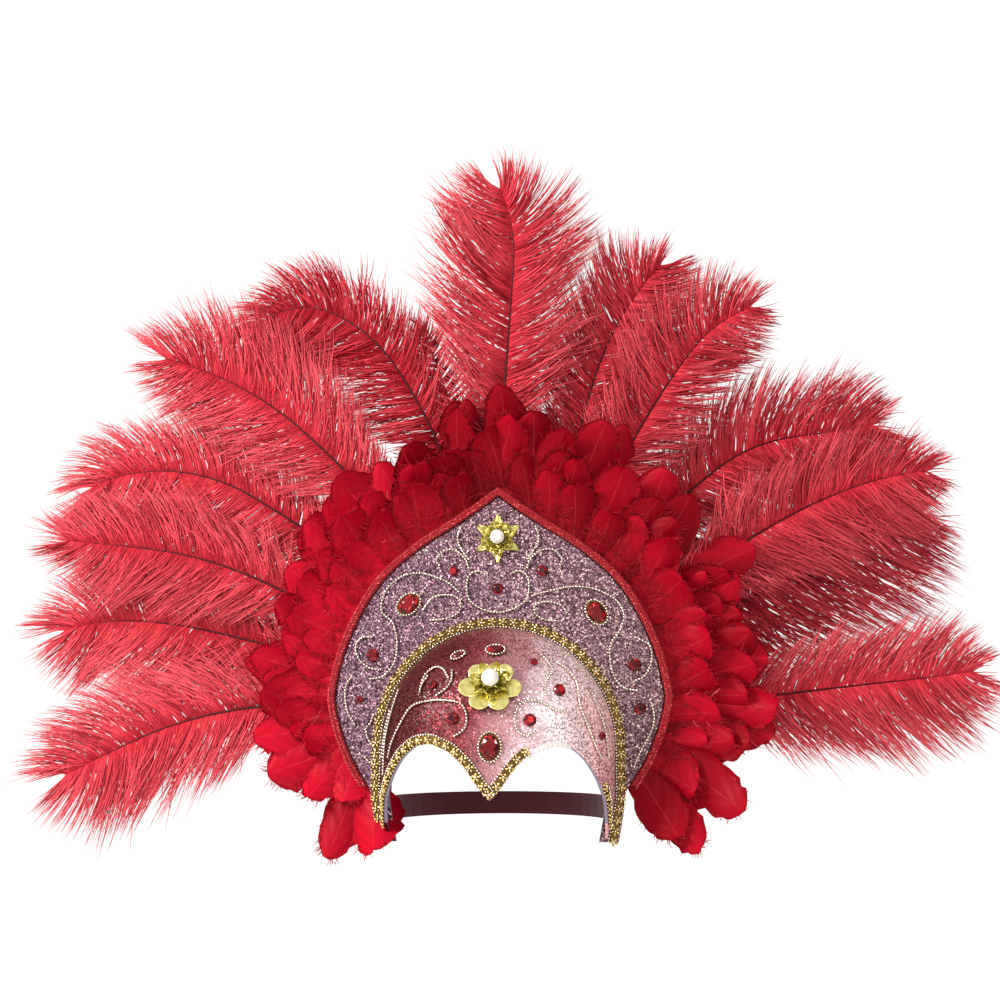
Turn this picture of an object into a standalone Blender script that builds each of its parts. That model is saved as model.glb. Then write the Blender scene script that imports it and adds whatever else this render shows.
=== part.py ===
"""Carnival feather headdress.

A spade-shaped crown panel stands behind a domed forehead piece. Broad curled feathers and thirteen
ostrich plumes fan out from behind the panel. Metres, +Z up, facing -Y. The origin is where the
headdress sits: on the head's upright axis, level with the lowest point of the brow edge.
"""
import math

import bmesh
import bpy
from mathutils import Matrix, Vector

# Fit between neighbouring pieces
GAP = 0.0004

# Crown panel
PANEL_HALF_WIDTH = 0.125
PANEL_HEIGHT = 0.228
PANEL_THICKNESS = 0.003
PANEL_FRONT = -0.028
PANEL_SWEEP = 0.014
PANEL_LEAN = 0.06
PANEL_EDGE_MARGIN = 0.0015

# Forehead shell
SHELL_HALF_WIDTH = 0.0885
SHELL_TOP = 0.1275
SHELL_SPRING = 0.038
SHELL_DEPTH = 0.065
SHELL_WALL = 0.0025
SHELL_LEDGE = 0.006
TAIL_DROP = 0.033
TAIL_LEAN = 0.006

# Trims
BRAID_RADIUS = 0.0034
TRIM_WIDTH = 0.007
TRIM_HEIGHT = 0.0026
ARCH_LEVEL = 59  # height of the arch trim's top, in percent on the panel
CHAIN_RADIUS = 0.001
BROW_TRIM_END = 78  # degrees round the head

# Head strap
STRAP_WIDTH = 0.018
STRAP_THICKNESS = 0.0012
STRAP_REACH = 0.125

# Stones
STONE_RADIUS = 0.0085
STONE_HEIGHT = 0.0042

# Flowers
TOP_FLOWER_RADIUS = 0.021
BROW_FLOWER_RADIUS = 0.025
PETAL_THICKNESS = 0.0008
TOP_PEARL_RADIUS = 0.0055
BROW_PEARL_RADIUS = 0.0065

# Feather ring
RING_REACH = 0.088
RING_BLADE_THICKNESS = 0.0016
RING_TAPE_THICKNESS = 0.003
RING_TAPE_OUTER = 0.002
RING_TAPE_INNER = 0.015
RING_GROUPS = 6
RING_BLADES = 6
RING_FORWARD = 0.02
RING_FIRST = 0.085
RING_LAST = 0.915

# Ostrich plumes
PLUME_LENGTH = 0.282
PLUME_HALF_WIDTH = 0.055
QUILL_RADIUS = 0.0017
PLUME_LAYER_STEP = 0.012
PLUME_ROOT_INSET = 0.017
QUILL_SEAT = 0.1  # share of the plume that lies on the tape
VANE_START = 0.22  # share of the plume where its vane starts
VANE_EDGE = 0.0012
PLUME_LOCKS = 8

# Right half of the crown panel's outline, from its point down to where the tail begins
PANEL_OUTLINE = [
    # across (share of half width), up (share of height)
    (0.000, 1.000),
    (0.130, 0.948),
    (0.264, 0.900),
    (0.480, 0.825),
    (0.690, 0.728),
    (0.830, 0.618),
    (0.936, 0.491),
    (0.992, 0.373),
    (1.000, 0.310),
    (0.955, 0.215),
    (0.880, 0.118),
]

# Brow edge of the forehead shell, from its middle point to its tail
BROW_EDGE = [
    # turn round the head (degrees), height (share of the shell's top)
    (0, 0.00),
    (6, 0.08),
    (12, 0.19),
    (20, 0.275),
    (30, 0.32),
    (39, 0.308),
    (49, 0.24),
    (59, 0.13),
    (68, 0.00),
    (77, -0.13),
    (90, -0.245),
]

# Round stones are cut octagons, long ones are ovals in a ring of balls
STONES = [
    # name, base, across and up (percent), size (share), length over width, turn (degrees)
    ("stone_01", "panel", -27, 75, 0.46, 1.0, 0),
    ("stone_02", "panel", 27, 75, 0.50, 1.0, 0),
    ("stone_03", "panel", 0, 69, 0.50, 1.0, 0),
    ("stone_04", "panel", -55, 64, 0.78, 1.35, 35),
    ("stone_05", "panel", 60, 61, 0.78, 1.35, 125),
    ("stone_06", "panel", -77, 47, 0.60, 1.0, 0),
    ("stone_07", "panel", 83, 43.5, 0.60, 1.0, 0),
    ("stone_08", "panel", -85, 32, 0.34, 1.0, 0),
    ("stone_09", "panel", 86, 29, 0.56, 1.0, 0),
    ("stone_10", "shell", 2, 85, 0.52, 1.4, 0),
    ("stone_11", "shell", -29, 82, 0.38, 1.5, 30),
    ("stone_12", "shell", 34, 78, 0.36, 1.0, 0),
    ("stone_13", "shell", -49, 65, 0.40, 1.0, 0),
    ("stone_14", "shell", 55, 62, 0.58, 1.0, 0),
    ("stone_15", "shell", -31, 46, 0.54, 1.0, 0),
    ("stone_16", "shell", 32, 45, 0.58, 1.0, 0),
    ("stone_17", "shell", 0, 30, 0.85, 1.3, 90),
    ("stone_18", "shell", 89, 36, 0.36, 1.0, 0),
]

# Routes of the bead chains: points across and up, in percent of the piece that they lie on
CHAIN_ROUTES = {
    "heart_chain": ("panel", [(-8, 74), (-13, 75), (-18, 73), (-19, 69), (-17, 65), (-9, 62), (0, 61),
                              (9, 62), (17, 65), (19, 69), (18, 73), (13, 75), (8, 74)]),
    "curl_chain_left": ("panel", [(-18, 76), (-20, 79), (-26, 82), (-33, 82), (-38, 79), (-36, 77)]),
    "curl_chain_right": ("panel", [(18, 76), (20, 79), (27, 82), (34, 82), (39, 79), (38, 77)]),
    "paisley_chain_left": ("panel", [(-24, 68), (-30, 71), (-38, 73), (-48, 74.5), (-59, 73.5), (-69, 69), (-72, 62),
                                     (-65, 58), (-62, 52), (-63, 45), (-70, 40), (-78, 39)]),
    "paisley_chain_right": ("panel", [(21, 66.5), (27, 67.5), (34, 68.5), (43, 69.5), (53, 69.5), (63, 68),
                                      (72, 65), (76.5, 60.5), (74, 55), (68.5, 50.5), (68, 45), (70.5, 39.5),
                                      (76, 36), (84, 35)]),
    "leaf_chain_left": ("panel", [(-46, 62), (-40, 66), (-30, 67), (-23, 65), (-24, 61), (-32, 59),
                                  (-41, 58.5)]),
    "leaf_chain_right": ("panel", [(42, 61), (38, 63.5), (30, 64.5), (23, 63.5), (23, 60.5), (29, 58.5),
                                   (37, 58)]),
    "front_scroll_left": ("shell", [(-88, 24), (-84, 33), (-75, 45), (-66, 53), (-50, 56), (-36, 56),
                                    (-24, 54), (-19, 47), (-21, 40), (-29, 36)]),
    "front_paisley_left": ("shell", [(-59, 66), (-56, 71), (-49, 75), (-41, 74), (-36, 69)]),
    "front_scroll_right": ("shell", [(88, 24), (83, 32), (77, 43), (71, 54), (69, 65), (62, 73),
                                     (50, 79)]),
    "front_curl_right": ("shell", [(64, 50), (54, 50), (44, 54), (34, 56), (24, 54), (20, 47),
                                   (22, 39), (30, 36)]),
}

# Plumes in order round the crown. A heading is the quill's direction, from +X towards +Z.
PLUMES = [
    # name, place round the outline, length (share), layer, upper and lower width (shares), headings
    ("plume_left_1", 0.175, 0.90, 0, 1.05, 1.05, (182, 182, 193, 204, 206)),
    ("plume_left_2", 0.221, 0.93, 1, 0.95, 0.95, (166, 166, 167, 176, 196)),
    ("plume_left_3", 0.263, 0.99, 0, 0.85, 0.80, (152, 152, 161, 173, 172)),
    ("plume_left_4", 0.335, 1.06, 1, 0.90, 1.05, (146, 146, 149, 174, 203)),
    ("plume_left_5", 0.401, 1.04, 0, 1.05, 0.85, (135, 135, 137, 151, 164)),
    ("plume_left_6", 0.465, 1.07, 1, 0.75, 0.95, (113, 114, 123, 154, 228)),
    ("plume_top", 0.500, 0.95, 0, 1.15, 1.05, (88, 88, 86, 86, 114)),
    ("plume_right_1", 0.575, 0.90, 1, 0.85, 0.90, (75, 75, 75, 63, 47)),
    ("plume_right_2", 0.600, 0.92, 0, 0.90, 0.74, (60, 60, 60, 54, 22)),
    ("plume_right_3", 0.646, 0.96, 1, 0.95, 0.90, (44, 44, 39, 9, 10)),
    ("plume_right_4", 0.711, 0.98, 0, 0.85, 0.90, (33, 33, 31, 22, 6)),
    ("plume_right_5", 0.775, 0.93, 2, 0.80, 1.15, (31, 31, 31, 29, 13)),
    ("plume_right_6", 0.838, 0.93, 0, 0.84, 0.95, (7, 7, 7, 6, 9)),
    ("crest_tuft", 0.483, 0.62, 2, 0.42, 0.42, (108, 108, 108, 110, 112)),
]

# Reach of the broad feathers along the outline
RING_REACH_TABLE = [
    # place round the outline, share of the reach
    (0.085, 1.00),
    (0.110, 0.72),
    (0.140, 0.82),
    (0.300, 0.90),
    (0.500, 1.02),
    (0.650, 1.08),
    (0.800, 1.04),
    (0.880, 0.97),
    (0.900, 0.92),
    (0.915, 0.78),
]

# Turn of the ring's feathers where they hang down at its two ends
RING_HANG = [
    # place round the outline, turn against the clock (degrees)
    (0.085, 74),
    (0.100, 52),
    (0.115, 27),
    (0.140, 0),
    (0.870, 0),
    (0.890, -16),
    (0.905, -36),
    (0.915, -48),
]

# Rows of a broad feather between its foot and its tip
RING_BLADE_ROWS = [
    # reach (share), width (share of the room it has), forward curl (share)
    (0.45, 0.94, 0.25),
    (0.80, 0.74, 0.70),
]

MATERIALS = {
    # name: colour, roughness, metallic
    "panel_glitter": ((0.55, 0.42, 0.55, 1.0), 0.35, 0.3),
    "rose_glitter": ((0.75, 0.30, 0.38, 1.0), 0.35, 0.3),
    "red_braid": ((0.45, 0.01, 0.02, 1.0), 0.6, 0.0),
    "gold": ((0.78, 0.62, 0.25, 1.0), 0.3, 1.0),
    "chain_metal": ((0.75, 0.72, 0.62, 1.0), 0.25, 1.0),
    "ruby": ((0.55, 0.01, 0.03, 1.0), 0.08, 0.0),
    "pearl": ((0.88, 0.84, 0.76, 1.0), 0.2, 0.0),
    "elastic": ((0.05, 0.01, 0.01, 1.0), 0.8, 0.0),
    "plume": ((0.62, 0.06, 0.10, 1.0), 0.8, 0.0),
    "broad_feather": ((0.60, 0.01, 0.05, 1.0), 0.6, 0.0),
}


def clear_scene():
    for item in list(bpy.data.objects):
        bpy.data.objects.remove(item, do_unlink=True)


def make_materials():
    made = {}
    for name, (colour, roughness, metallic) in MATERIALS.items():
        material = bpy.data.materials.new(name)
        material.use_nodes = True
        shader = material.node_tree.nodes["Principled BSDF"]
        shader.inputs["Base Color"].default_value = colour
        shader.inputs["Roughness"].default_value = roughness
        shader.inputs["Metallic"].default_value = metallic
        made[name] = material
    return made


def read_table(rows, place):
    """Value at a place, on straight lines between a table's rows."""
    for (start, low), (end, high) in zip(rows, rows[1:]):
        if place <= end:
            share = (place - start) / (end - start)
            return low + (high - low) * max(share, 0.0)
    return rows[-1][1]


def through(points, count):
    """A smooth curve through the points, as count points an equal way apart."""
    knots = [Vector(point) for point in points]
    knots = [2 * knots[0] - knots[1]] + knots + [2 * knots[-1] - knots[-2]]
    fine = []
    steps = 12
    for a, b, c, d in zip(knots, knots[1:], knots[2:], knots[3:]):
        for step in range(steps):
            t = step / steps
            fine.append(0.5 * (2 * b + (c - a) * t + (2 * a - 5 * b + 4 * c - d) * t ** 2
                               + (3 * b - a - 3 * c + d) * t ** 3))
    fine.append(knots[-2])
    run = [0.0]
    for start, end in zip(fine, fine[1:]):
        run.append(run[-1] + (end - start).length)
    path = []
    leg = 0
    for index in range(count):
        goal = run[-1] * index / (count - 1)
        while leg < len(fine) - 2 and run[leg + 1] < goal:
            leg += 1
        share = (goal - run[leg]) / (run[leg + 1] - run[leg])
        path.append(fine[leg].lerp(fine[leg + 1], min(share, 1.0)))
    return path


def both_sides(half):
    """A path across the piece from its right half, which starts on the middle line."""
    return [Vector((-point.x, point.y)) for point in reversed(half[1:])] + half


def sweep_slope(x):
    reach = min(abs(x), PANEL_HALF_WIDTH)
    return math.copysign(2 * PANEL_SWEEP * reach / PANEL_HALF_WIDTH ** 2, x)


def panel_y(x, z):
    """The panel's front face, swept back at its sides and leaning back; straight on past the edge."""
    reach = min(abs(x), PANEL_HALF_WIDTH)
    bow = PANEL_SWEEP * (reach / PANEL_HALF_WIDTH) ** 2
    beyond = (abs(x) - reach) * abs(sweep_slope(PANEL_HALF_WIDTH))
    return PANEL_FRONT + bow + beyond + PANEL_LEAN * z


def on_panel(x, z, height=0.0):
    """A point at a height in front of the panel, and the panel's normal there."""
    normal = Vector((sweep_slope(x), -1.0, PANEL_LEAN)).normalized()
    return Vector((x, panel_y(x, z), z)) + normal * height, normal


def behind_panel(x, z, depth):
    return Vector((x, panel_y(x, z) + depth, z))


def arch_half_width(z):
    """Half the forehead shell's width at its rim, which leans in along the tails."""
    return SHELL_HALF_WIDTH - TAIL_LEAN * max(-z, 0.0) / TAIL_DROP


def shell_seat():
    """The rim's clearance off the panel, so that its inner corner clears the sweep too."""
    return GAP + SHELL_WALL * sweep_slope(SHELL_HALF_WIDTH)


def round_the_shell(turn, z, height=0.0):
    """A point on the dome at a turn round the head (radians) and a height above it."""
    rise = max(z - SHELL_SPRING, 0.0) / (SHELL_TOP - SHELL_SPRING)
    shrink = math.sqrt(max(1.0 - rise ** 2, 0.0))
    x = arch_half_width(z) * shrink * math.sin(turn)
    depth = SHELL_DEPTH * shrink * math.cos(turn)
    pull = depth / SHELL_DEPTH ** 2
    normal = Vector((x / arch_half_width(z) ** 2 + pull * sweep_slope(x), -pull,
                     rise / (SHELL_TOP - SHELL_SPRING) + pull * PANEL_LEAN)).normalized()
    return Vector((x, panel_y(x, z) - shell_seat() - depth, z)) + normal * height, normal


def on_shell(x, z, height=0.0):
    rise = max(z - SHELL_SPRING, 0.0) / (SHELL_TOP - SHELL_SPRING)
    width = arch_half_width(z) * math.sqrt(max(1.0 - rise ** 2, 1e-6))
    return round_the_shell(math.asin(max(-1.0, min(1.0, x / width))), z, height)


def lay(base, across, up, height=0.0):
    """A place in percent on the panel or the shell."""
    if base == "panel":
        arch_top = SHELL_TOP + TRIM_WIDTH
        level = read_table([(0, 0.0), (ARCH_LEVEL, arch_top), (100, PANEL_HEIGHT)], up)
        return on_panel(across * PANEL_HALF_WIDTH / 100, level, height)
    return on_shell(across * SHELL_HALF_WIDTH / 100, up * SHELL_TOP / 100, height)


def crown_half_outline(count):
    """The panel's outline from its point to the foot of its tail, which carries the gold trim."""
    points = [(across * PANEL_HALF_WIDTH, up * PANEL_HEIGHT) for across, up in PANEL_OUTLINE]
    for share in (0.15, -0.4, -1.0):
        z = share * TAIL_DROP
        points.append((arch_half_width(z) + TRIM_WIDTH + PANEL_EDGE_MARGIN, z))
    return through(points, count)


def arch_half_path(offset, count):
    """The shell's rim from its top to the foot of its tail, moved outwards by an offset."""
    points = []
    for step in range(9):
        turn = math.pi / 2 * step / 8
        points.append(((SHELL_HALF_WIDTH + offset) * math.sin(turn),
                       SHELL_SPRING + (SHELL_TOP - SHELL_SPRING + offset) * math.cos(turn)))
    for share in (0.5, 0.0, -0.5, -1.0):
        z = SHELL_SPRING * share if share > 0 else TAIL_DROP * share
        points.append((arch_half_width(z) + offset, z))
    return through(points, count)


def add_object(name, mesh, material, collection):
    item = bpy.data.objects.new(name, mesh)
    mesh.materials.append(material)
    collection.objects.link(item)
    return item


def mesh_from(name, points, faces, smooth_angle=None):
    """A mesh of points and faces, with its faces turned outwards."""
    model = bmesh.new()
    corners = [model.verts.new(point) for point in points]
    for face in faces:
        model.faces.new([corners[index] for index in face])
    bmesh.ops.recalc_face_normals(model, faces=model.faces)
    mesh = bpy.data.meshes.new(name)
    model.to_mesh(mesh)
    model.free()
    if smooth_angle is not None:
        mesh.shade_smooth()
        mesh.set_sharp_from_angle(angle=smooth_angle)
    return mesh


def sheet_from(name, rows):
    """An open sheet lofted through rows of points."""
    points = [point for row in rows for point in row]
    wide = len(rows[0])
    faces = []
    for row in range(len(rows) - 1):
        for column in range(wide - 1):
            corner = row * wide + column
            faces.append((corner, corner + 1, corner + wide + 1, corner + wide))
    return mesh_from(name, points, faces)


def thicken(item, wall, offset):
    """Turn an open sheet into a wall."""
    shell = item.modifiers.new("wall", "SOLIDIFY")
    shell.thickness = wall
    shell.offset = offset
    shell.use_even_offset = True


def band_along(name, centres, normals, width, height):
    """A low ribbon with sloping sides, laid along a path on a surface."""
    points = []
    for index, (centre, normal) in enumerate(zip(centres, normals)):
        before = centres[max(index - 1, 0)]
        after = centres[min(index + 1, len(centres) - 1)]
        side = normal.cross(after - before).normalized()
        for across, up in ((-0.5, 0.0), (-0.5, 0.45), (-0.2, 1.0), (0.2, 1.0), (0.5, 0.45), (0.5, 0.0)):
            points.append(centre + side * across * width + normal * up * height)
    corners = 6
    faces = [tuple(range(corners)), tuple(range(len(points) - corners, len(points)))]
    for ring in range(len(centres) - 1):
        for corner in range(corners):
            following = (corner + 1) % corners
            start = ring * corners
            faces.append((start + corner, start + following,
                          start + corners + following, start + corners + corner))
    return mesh_from(name, points, faces)


def tube_along(name, points, radius, resolution, material, collection):
    """A round tube with filled caps."""
    curve = bpy.data.curves.new(name, "CURVE")
    curve.dimensions = "3D"
    curve.bevel_depth = radius
    curve.bevel_resolution = resolution
    curve.use_fill_caps = True
    spline = curve.splines.new("POLY")
    spline.points.add(len(points) - 1)
    for knot, point in zip(spline.points, points):
        knot.co = (*point, 1.0)
    curve.materials.append(material)
    item = bpy.data.objects.new(name, curve)
    collection.objects.link(item)
    return item


def build_panel(materials, collection):
    """The panel is a horseshoe: lofted between the shell's arch and the crown's outline."""
    stations = 21
    rings = 5
    inner = both_sides(arch_half_path(-SHELL_LEDGE, stations))
    outer = both_sides(crown_half_outline(stations))
    rows = []
    for ring in range(rings + 1):
        share = ring / rings
        rows.append([on_panel(*start.lerp(end, share))[0] for start, end in zip(inner, outer)])
    item = add_object("crown_panel", sheet_from("crown_panel", rows), materials["panel_glitter"], collection)
    item.data.flip_normals()
    thicken(item, PANEL_THICKNESS, facing_offset(item))


def facing_offset(item):
    """Solidify's offset that puts the wall behind a sheet seen from the front."""
    tilt = sum(face.normal.y * face.area for face in item.data.polygons)
    return -1.0 if tilt < 0 else 1.0


def brow_height(turn):
    return SHELL_TOP * read_table(BROW_EDGE, abs(math.degrees(turn)))


def build_shell(materials, collection):
    """Meridians run from the brow edge up to the top of the arch, where they meet."""
    columns = 24
    rows = 7
    rise = SHELL_TOP - SHELL_SPRING
    grid = []
    for column in range(columns + 1):
        turn = math.radians(-90 + 180 * column / columns)
        low = (brow_height(turn) - SHELL_SPRING) / rise
        low = low if low < 0 else math.asin(low)
        line = []
        for row in range(rows):
            angle = low + (math.pi / 2 - low) * row / rows
            z = SHELL_SPRING + rise * (angle if angle < 0 else math.sin(angle))
            line.append(round_the_shell(turn, z)[0])
        grid.append(line)
    points = [point for line in grid for point in line]
    points.append(round_the_shell(0.0, SHELL_TOP)[0])
    faces = []
    for column in range(columns):
        for row in range(rows - 1):
            corner = column * rows + row
            faces.append((corner, corner + rows, corner + rows + 1, corner + 1))
        top = column * rows + rows - 1
        faces.append((top, top + rows, len(points) - 1))
    item = add_object("forehead_shell", mesh_from("forehead_shell", points, faces),
                      materials["rose_glitter"], collection)
    thicken(item, SHELL_WALL, facing_offset(item))


def offset_outwards(path, distance):
    """A flat path moved outwards along its mitred normals."""
    moved = []
    for index, point in enumerate(path):
        before = point - path[index - 1] if index > 0 else path[1] - point
        after = path[index + 1] - point if index < len(path) - 1 else before
        first = Vector((-before.y, before.x)).normalized()
        second = Vector((-after.y, after.x)).normalized()
        mitre = first + second
        moved.append(point + mitre * (2.0 * distance / mitre.length_squared))
    return moved


def build_trims(materials, collection):
    outline = both_sides(crown_half_outline(25))
    edge = offset_outwards(outline, BRAID_RADIUS + GAP)
    route = [on_panel(point.x, point.y)[0] for point in edge if point.y > SHELL_SPRING / 5]
    tube_along("outer_braid", route, BRAID_RADIUS, 1, materials["red_braid"], collection)

    path = both_sides(arch_half_path(TRIM_WIDTH / 2 + GAP, 23))
    sites = [on_panel(point.x, point.y, GAP) for point in path]
    mesh = band_along("arch_trim", [site[0] for site in sites], [site[1] for site in sites],
                      TRIM_WIDTH, TRIM_HEIGHT)
    add_object("arch_trim", mesh, materials["gold"], collection)

    half = []
    for step in range(17):
        turn = math.radians(BROW_TRIM_END * step / 16)
        half.append((turn, brow_height(turn)))
    edge = [(-turn, z) for turn, z in reversed(half[1:])] + half
    sites = [round_the_shell(turn, z, GAP) for turn, z in edge]
    centres = []
    for index, (point, normal) in enumerate(sites):
        before = sites[max(index - 1, 0)][0]
        after = sites[min(index + 1, len(sites) - 1)][0]
        centres.append(point + (after - before).cross(normal).normalized() * -TRIM_WIDTH / 2)
    mesh = band_along("brow_trim", centres, [site[1] for site in sites], TRIM_WIDTH, TRIM_HEIGHT)
    add_object("brow_trim", mesh, materials["gold"], collection)


def build_strap(materials, collection):
    """Plain elastic from one tail round the back of the head to the other."""
    middle = -STRAP_WIDTH / 2
    half_width = arch_half_width(-STRAP_WIDTH)
    start = panel_y(half_width, 0.0) + PANEL_THICKNESS + 2 * GAP
    rows = []
    for step in range(25):
        turn = math.pi * step / 24
        across = half_width * math.cos(turn)
        back = start + STRAP_REACH * math.sin(turn)
        rows.append([Vector((across, back, middle + side * STRAP_WIDTH)) for side in (-0.5, 0.5)])
    item = add_object("head_strap", sheet_from("head_strap", rows), materials["elastic"], collection)
    thicken(item, STRAP_THICKNESS, 0.0)


def frame_at(base, across, up, height, turn):
    """The place and turn of a hard piece that sits on the panel or shell."""
    point, normal = lay(base, across, up, height)
    side = Vector((0.0, 0.0, 1.0)).cross(normal).normalized()
    rise = normal.cross(side)
    basis = Matrix((side, rise, normal)).transposed().to_4x4()
    return Matrix.Translation(point) @ basis @ Matrix.Rotation(turn, 4, "Z")


def cut_stone(name, size, stretch, ringed):
    """A cut stone: girdle, bevelled crown and flat table, on a setting if it is an oval."""
    radius = STONE_RADIUS * size
    height = STONE_HEIGHT * (0.4 + 0.6 * size)
    sides = 8
    rings = [(1.0, 0.0), (1.0, 0.25), (0.92, 0.45), (0.55, 1.0)]
    if ringed:
        rings = [(1.22, 0.0), (1.22, 0.35), (1.0, 0.40), (0.92, 0.60), (0.55, 1.05)]
    points = []
    for share, level in rings:
        for side in range(sides):
            angle = math.tau * (side + 0.5) / sides
            points.append(Vector((radius * stretch * share * math.cos(angle),
                                  radius * share * math.sin(angle), height * level)))
    faces = [tuple(range(sides)), tuple(range(len(points) - sides, len(points)))]
    for ring in range(len(rings) - 1):
        for side in range(sides):
            following = (side + 1) % sides
            low = ring * sides
            faces.append((low + side, low + following, low + sides + following, low + sides + side))
    return mesh_from(name, points, faces)


def build_stones(materials, collection):
    for name, base, across, up, size, stretch, turn in STONES:
        mesh = cut_stone(name, size, stretch, stretch > 1.0)
        item = add_object(name, mesh, materials["ruby"], collection)
        item.matrix_world = frame_at(base, across, up, GAP, math.radians(turn))


def build_chains(materials, collection):
    for name, (base, route) in CHAIN_ROUTES.items():
        length = sum((Vector(b) - Vector(a)).length for a, b in zip(route, route[1:]))
        path = through(route, max(8, round(length / 6.5)))
        points = [lay(base, point.x, point.y, GAP + CHAIN_RADIUS)[0] for point in path]
        tube_along(name, points, CHAIN_RADIUS, 1, materials["chain_metal"], collection)


def petal_ring(radius, notch, petals, start, level, sides):
    """One ring of a flower: a circle pinched in between its petals."""
    ring = []
    for side in range(sides):
        angle = math.tau * side / sides
        pinch = 1.0 - notch * (1.0 - abs(math.cos(petals * (angle - start) / 2)))
        ring.append((radius * pinch * math.cos(angle), radius * pinch * math.sin(angle), level))
    return ring


def flower(name, centre, rings, sides, material, collection):
    """A layered flower in one solid, lofted ring by ring and draped over the surface it sits on."""
    base, middle_x, middle_z = centre
    site = on_panel if base == "panel" else on_shell
    points = []
    for ring in rings:
        for x, z, level in petal_ring(*ring, sides):
            points.append(site(middle_x + x, middle_z + z, GAP + level)[0])
    count = len(points)
    points.append(site(middle_x, middle_z, GAP + rings[0][4])[0])
    points.append(site(middle_x, middle_z, GAP + rings[-1][4])[0])
    faces = []
    for side in range(sides):
        following = (side + 1) % sides
        faces.append((side, following, count))
        faces.append((count - sides + side, count - sides + following, count + 1))
        for ring in range(len(rings) - 1):
            low = ring * sides
            faces.append((low + side, low + following, low + sides + following, low + sides + side))
    return add_object(name, mesh_from(name, points, faces), material, collection)


def pearl(name, centre, level, radius, material, collection):
    base, x, z = centre
    site = on_panel if base == "panel" else on_shell
    model = bmesh.new()
    bmesh.ops.create_uvsphere(model, u_segments=12, v_segments=8, radius=radius)
    mesh = bpy.data.meshes.new(name)
    model.to_mesh(mesh)
    model.free()
    mesh.shade_smooth()
    item = add_object(name, mesh, material, collection)
    item.location = site(x, z, level + 2 * GAP + radius)[0]


def build_flowers(materials, collection):
    """Two gold flowers with pearls: one under the crown's point, one on the forehead."""
    radius = TOP_FLOWER_RADIUS
    centre = ("panel", 0.0, 0.86 * PANEL_HEIGHT)
    rings = [(radius * 0.5, 0.0, 6, 0.26, 0.0),
             (radius, 0.40, 6, 0.26, 0.0),
             (radius, 0.40, 6, 0.26, PETAL_THICKNESS),
             (radius * 0.56, 0.0, 6, 0.26, 2.0 * PETAL_THICKNESS),
             (radius * 0.72, 0.25, 5, 0.31, 5.0 * PETAL_THICKNESS),
             (radius * 0.26, 0.0, 5, 0.31, 4.0 * PETAL_THICKNESS)]
    flower("top_flower", centre, rings, 36, materials["gold"], collection)
    pearl("top_pearl", centre, rings[-1][4], TOP_PEARL_RADIUS, materials["pearl"], collection)

    radius = BROW_FLOWER_RADIUS
    centre = ("shell", 0.0, 0.655 * SHELL_TOP)
    rings = [(radius * 0.5, 0.0, 5, 0.94, 0.0),
             (radius, 0.45, 5, 0.94, 0.0),
             (radius, 0.45, 5, 0.94, PETAL_THICKNESS),
             (radius * 0.52, 0.0, 5, 0.94, 2.0 * PETAL_THICKNESS),
             (radius * 0.62, 0.2, 5, 0.31, 4.5 * PETAL_THICKNESS),
             (radius * 0.26, 0.0, 5, 0.31, 4.0 * PETAL_THICKNESS)]
    flower("brow_flower", centre, rings, 30, materials["gold"], collection)
    pearl("brow_pearl", centre, rings[-1][4], BROW_PEARL_RADIUS, materials["pearl"], collection)


def outline_places(count):
    """Places an equal way apart all round the crown's outline."""
    return through(both_sides(crown_half_outline(41)), count)


def outline_at(places, share):
    run = share * (len(places) - 1)
    index = min(int(run), len(places) - 2)
    return places[index].lerp(places[index + 1], run - index)


def crown_middle():
    return Vector((0.0, 0.26 * PANEL_HEIGHT))


def outwards(point):
    return (point - crown_middle()).normalized()


def ring_way(share, base):
    """Outwards, but turned down where the feathers hang at the ring's two ends."""
    way = outwards(base)
    way.rotate(Matrix.Rotation(math.radians(read_table(RING_HANG, share)), 2))
    return way


def ring_depths():
    """Depths of the tape, and of a broad feather where it passes behind the red braid."""
    tape = PANEL_THICKNESS + GAP
    return tape, max(tape, BRAID_RADIUS + 2 * GAP)


def build_feather_ring(materials, collection):
    """Broad feathers in six groups, each fused to its length of backing tape behind the panel."""
    places = outline_places(161)
    tape, clear_depth = ring_depths()
    pitch = (RING_LAST - RING_FIRST) / (RING_GROUPS * RING_BLADES)
    for group in range(RING_GROUPS):
        blades = []
        for blade in range(RING_BLADES):
            index = group * RING_BLADES + blade
            blades.append((RING_FIRST + pitch * index, RING_FIRST + pitch * (index + 1)))
        points, faces = ring_group(places, blades, tape, clear_depth)
        name = f"feather_ring_{group + 1}"
        add_object(name, mesh_from(name, points, faces), materials["broad_feather"], collection)


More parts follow.
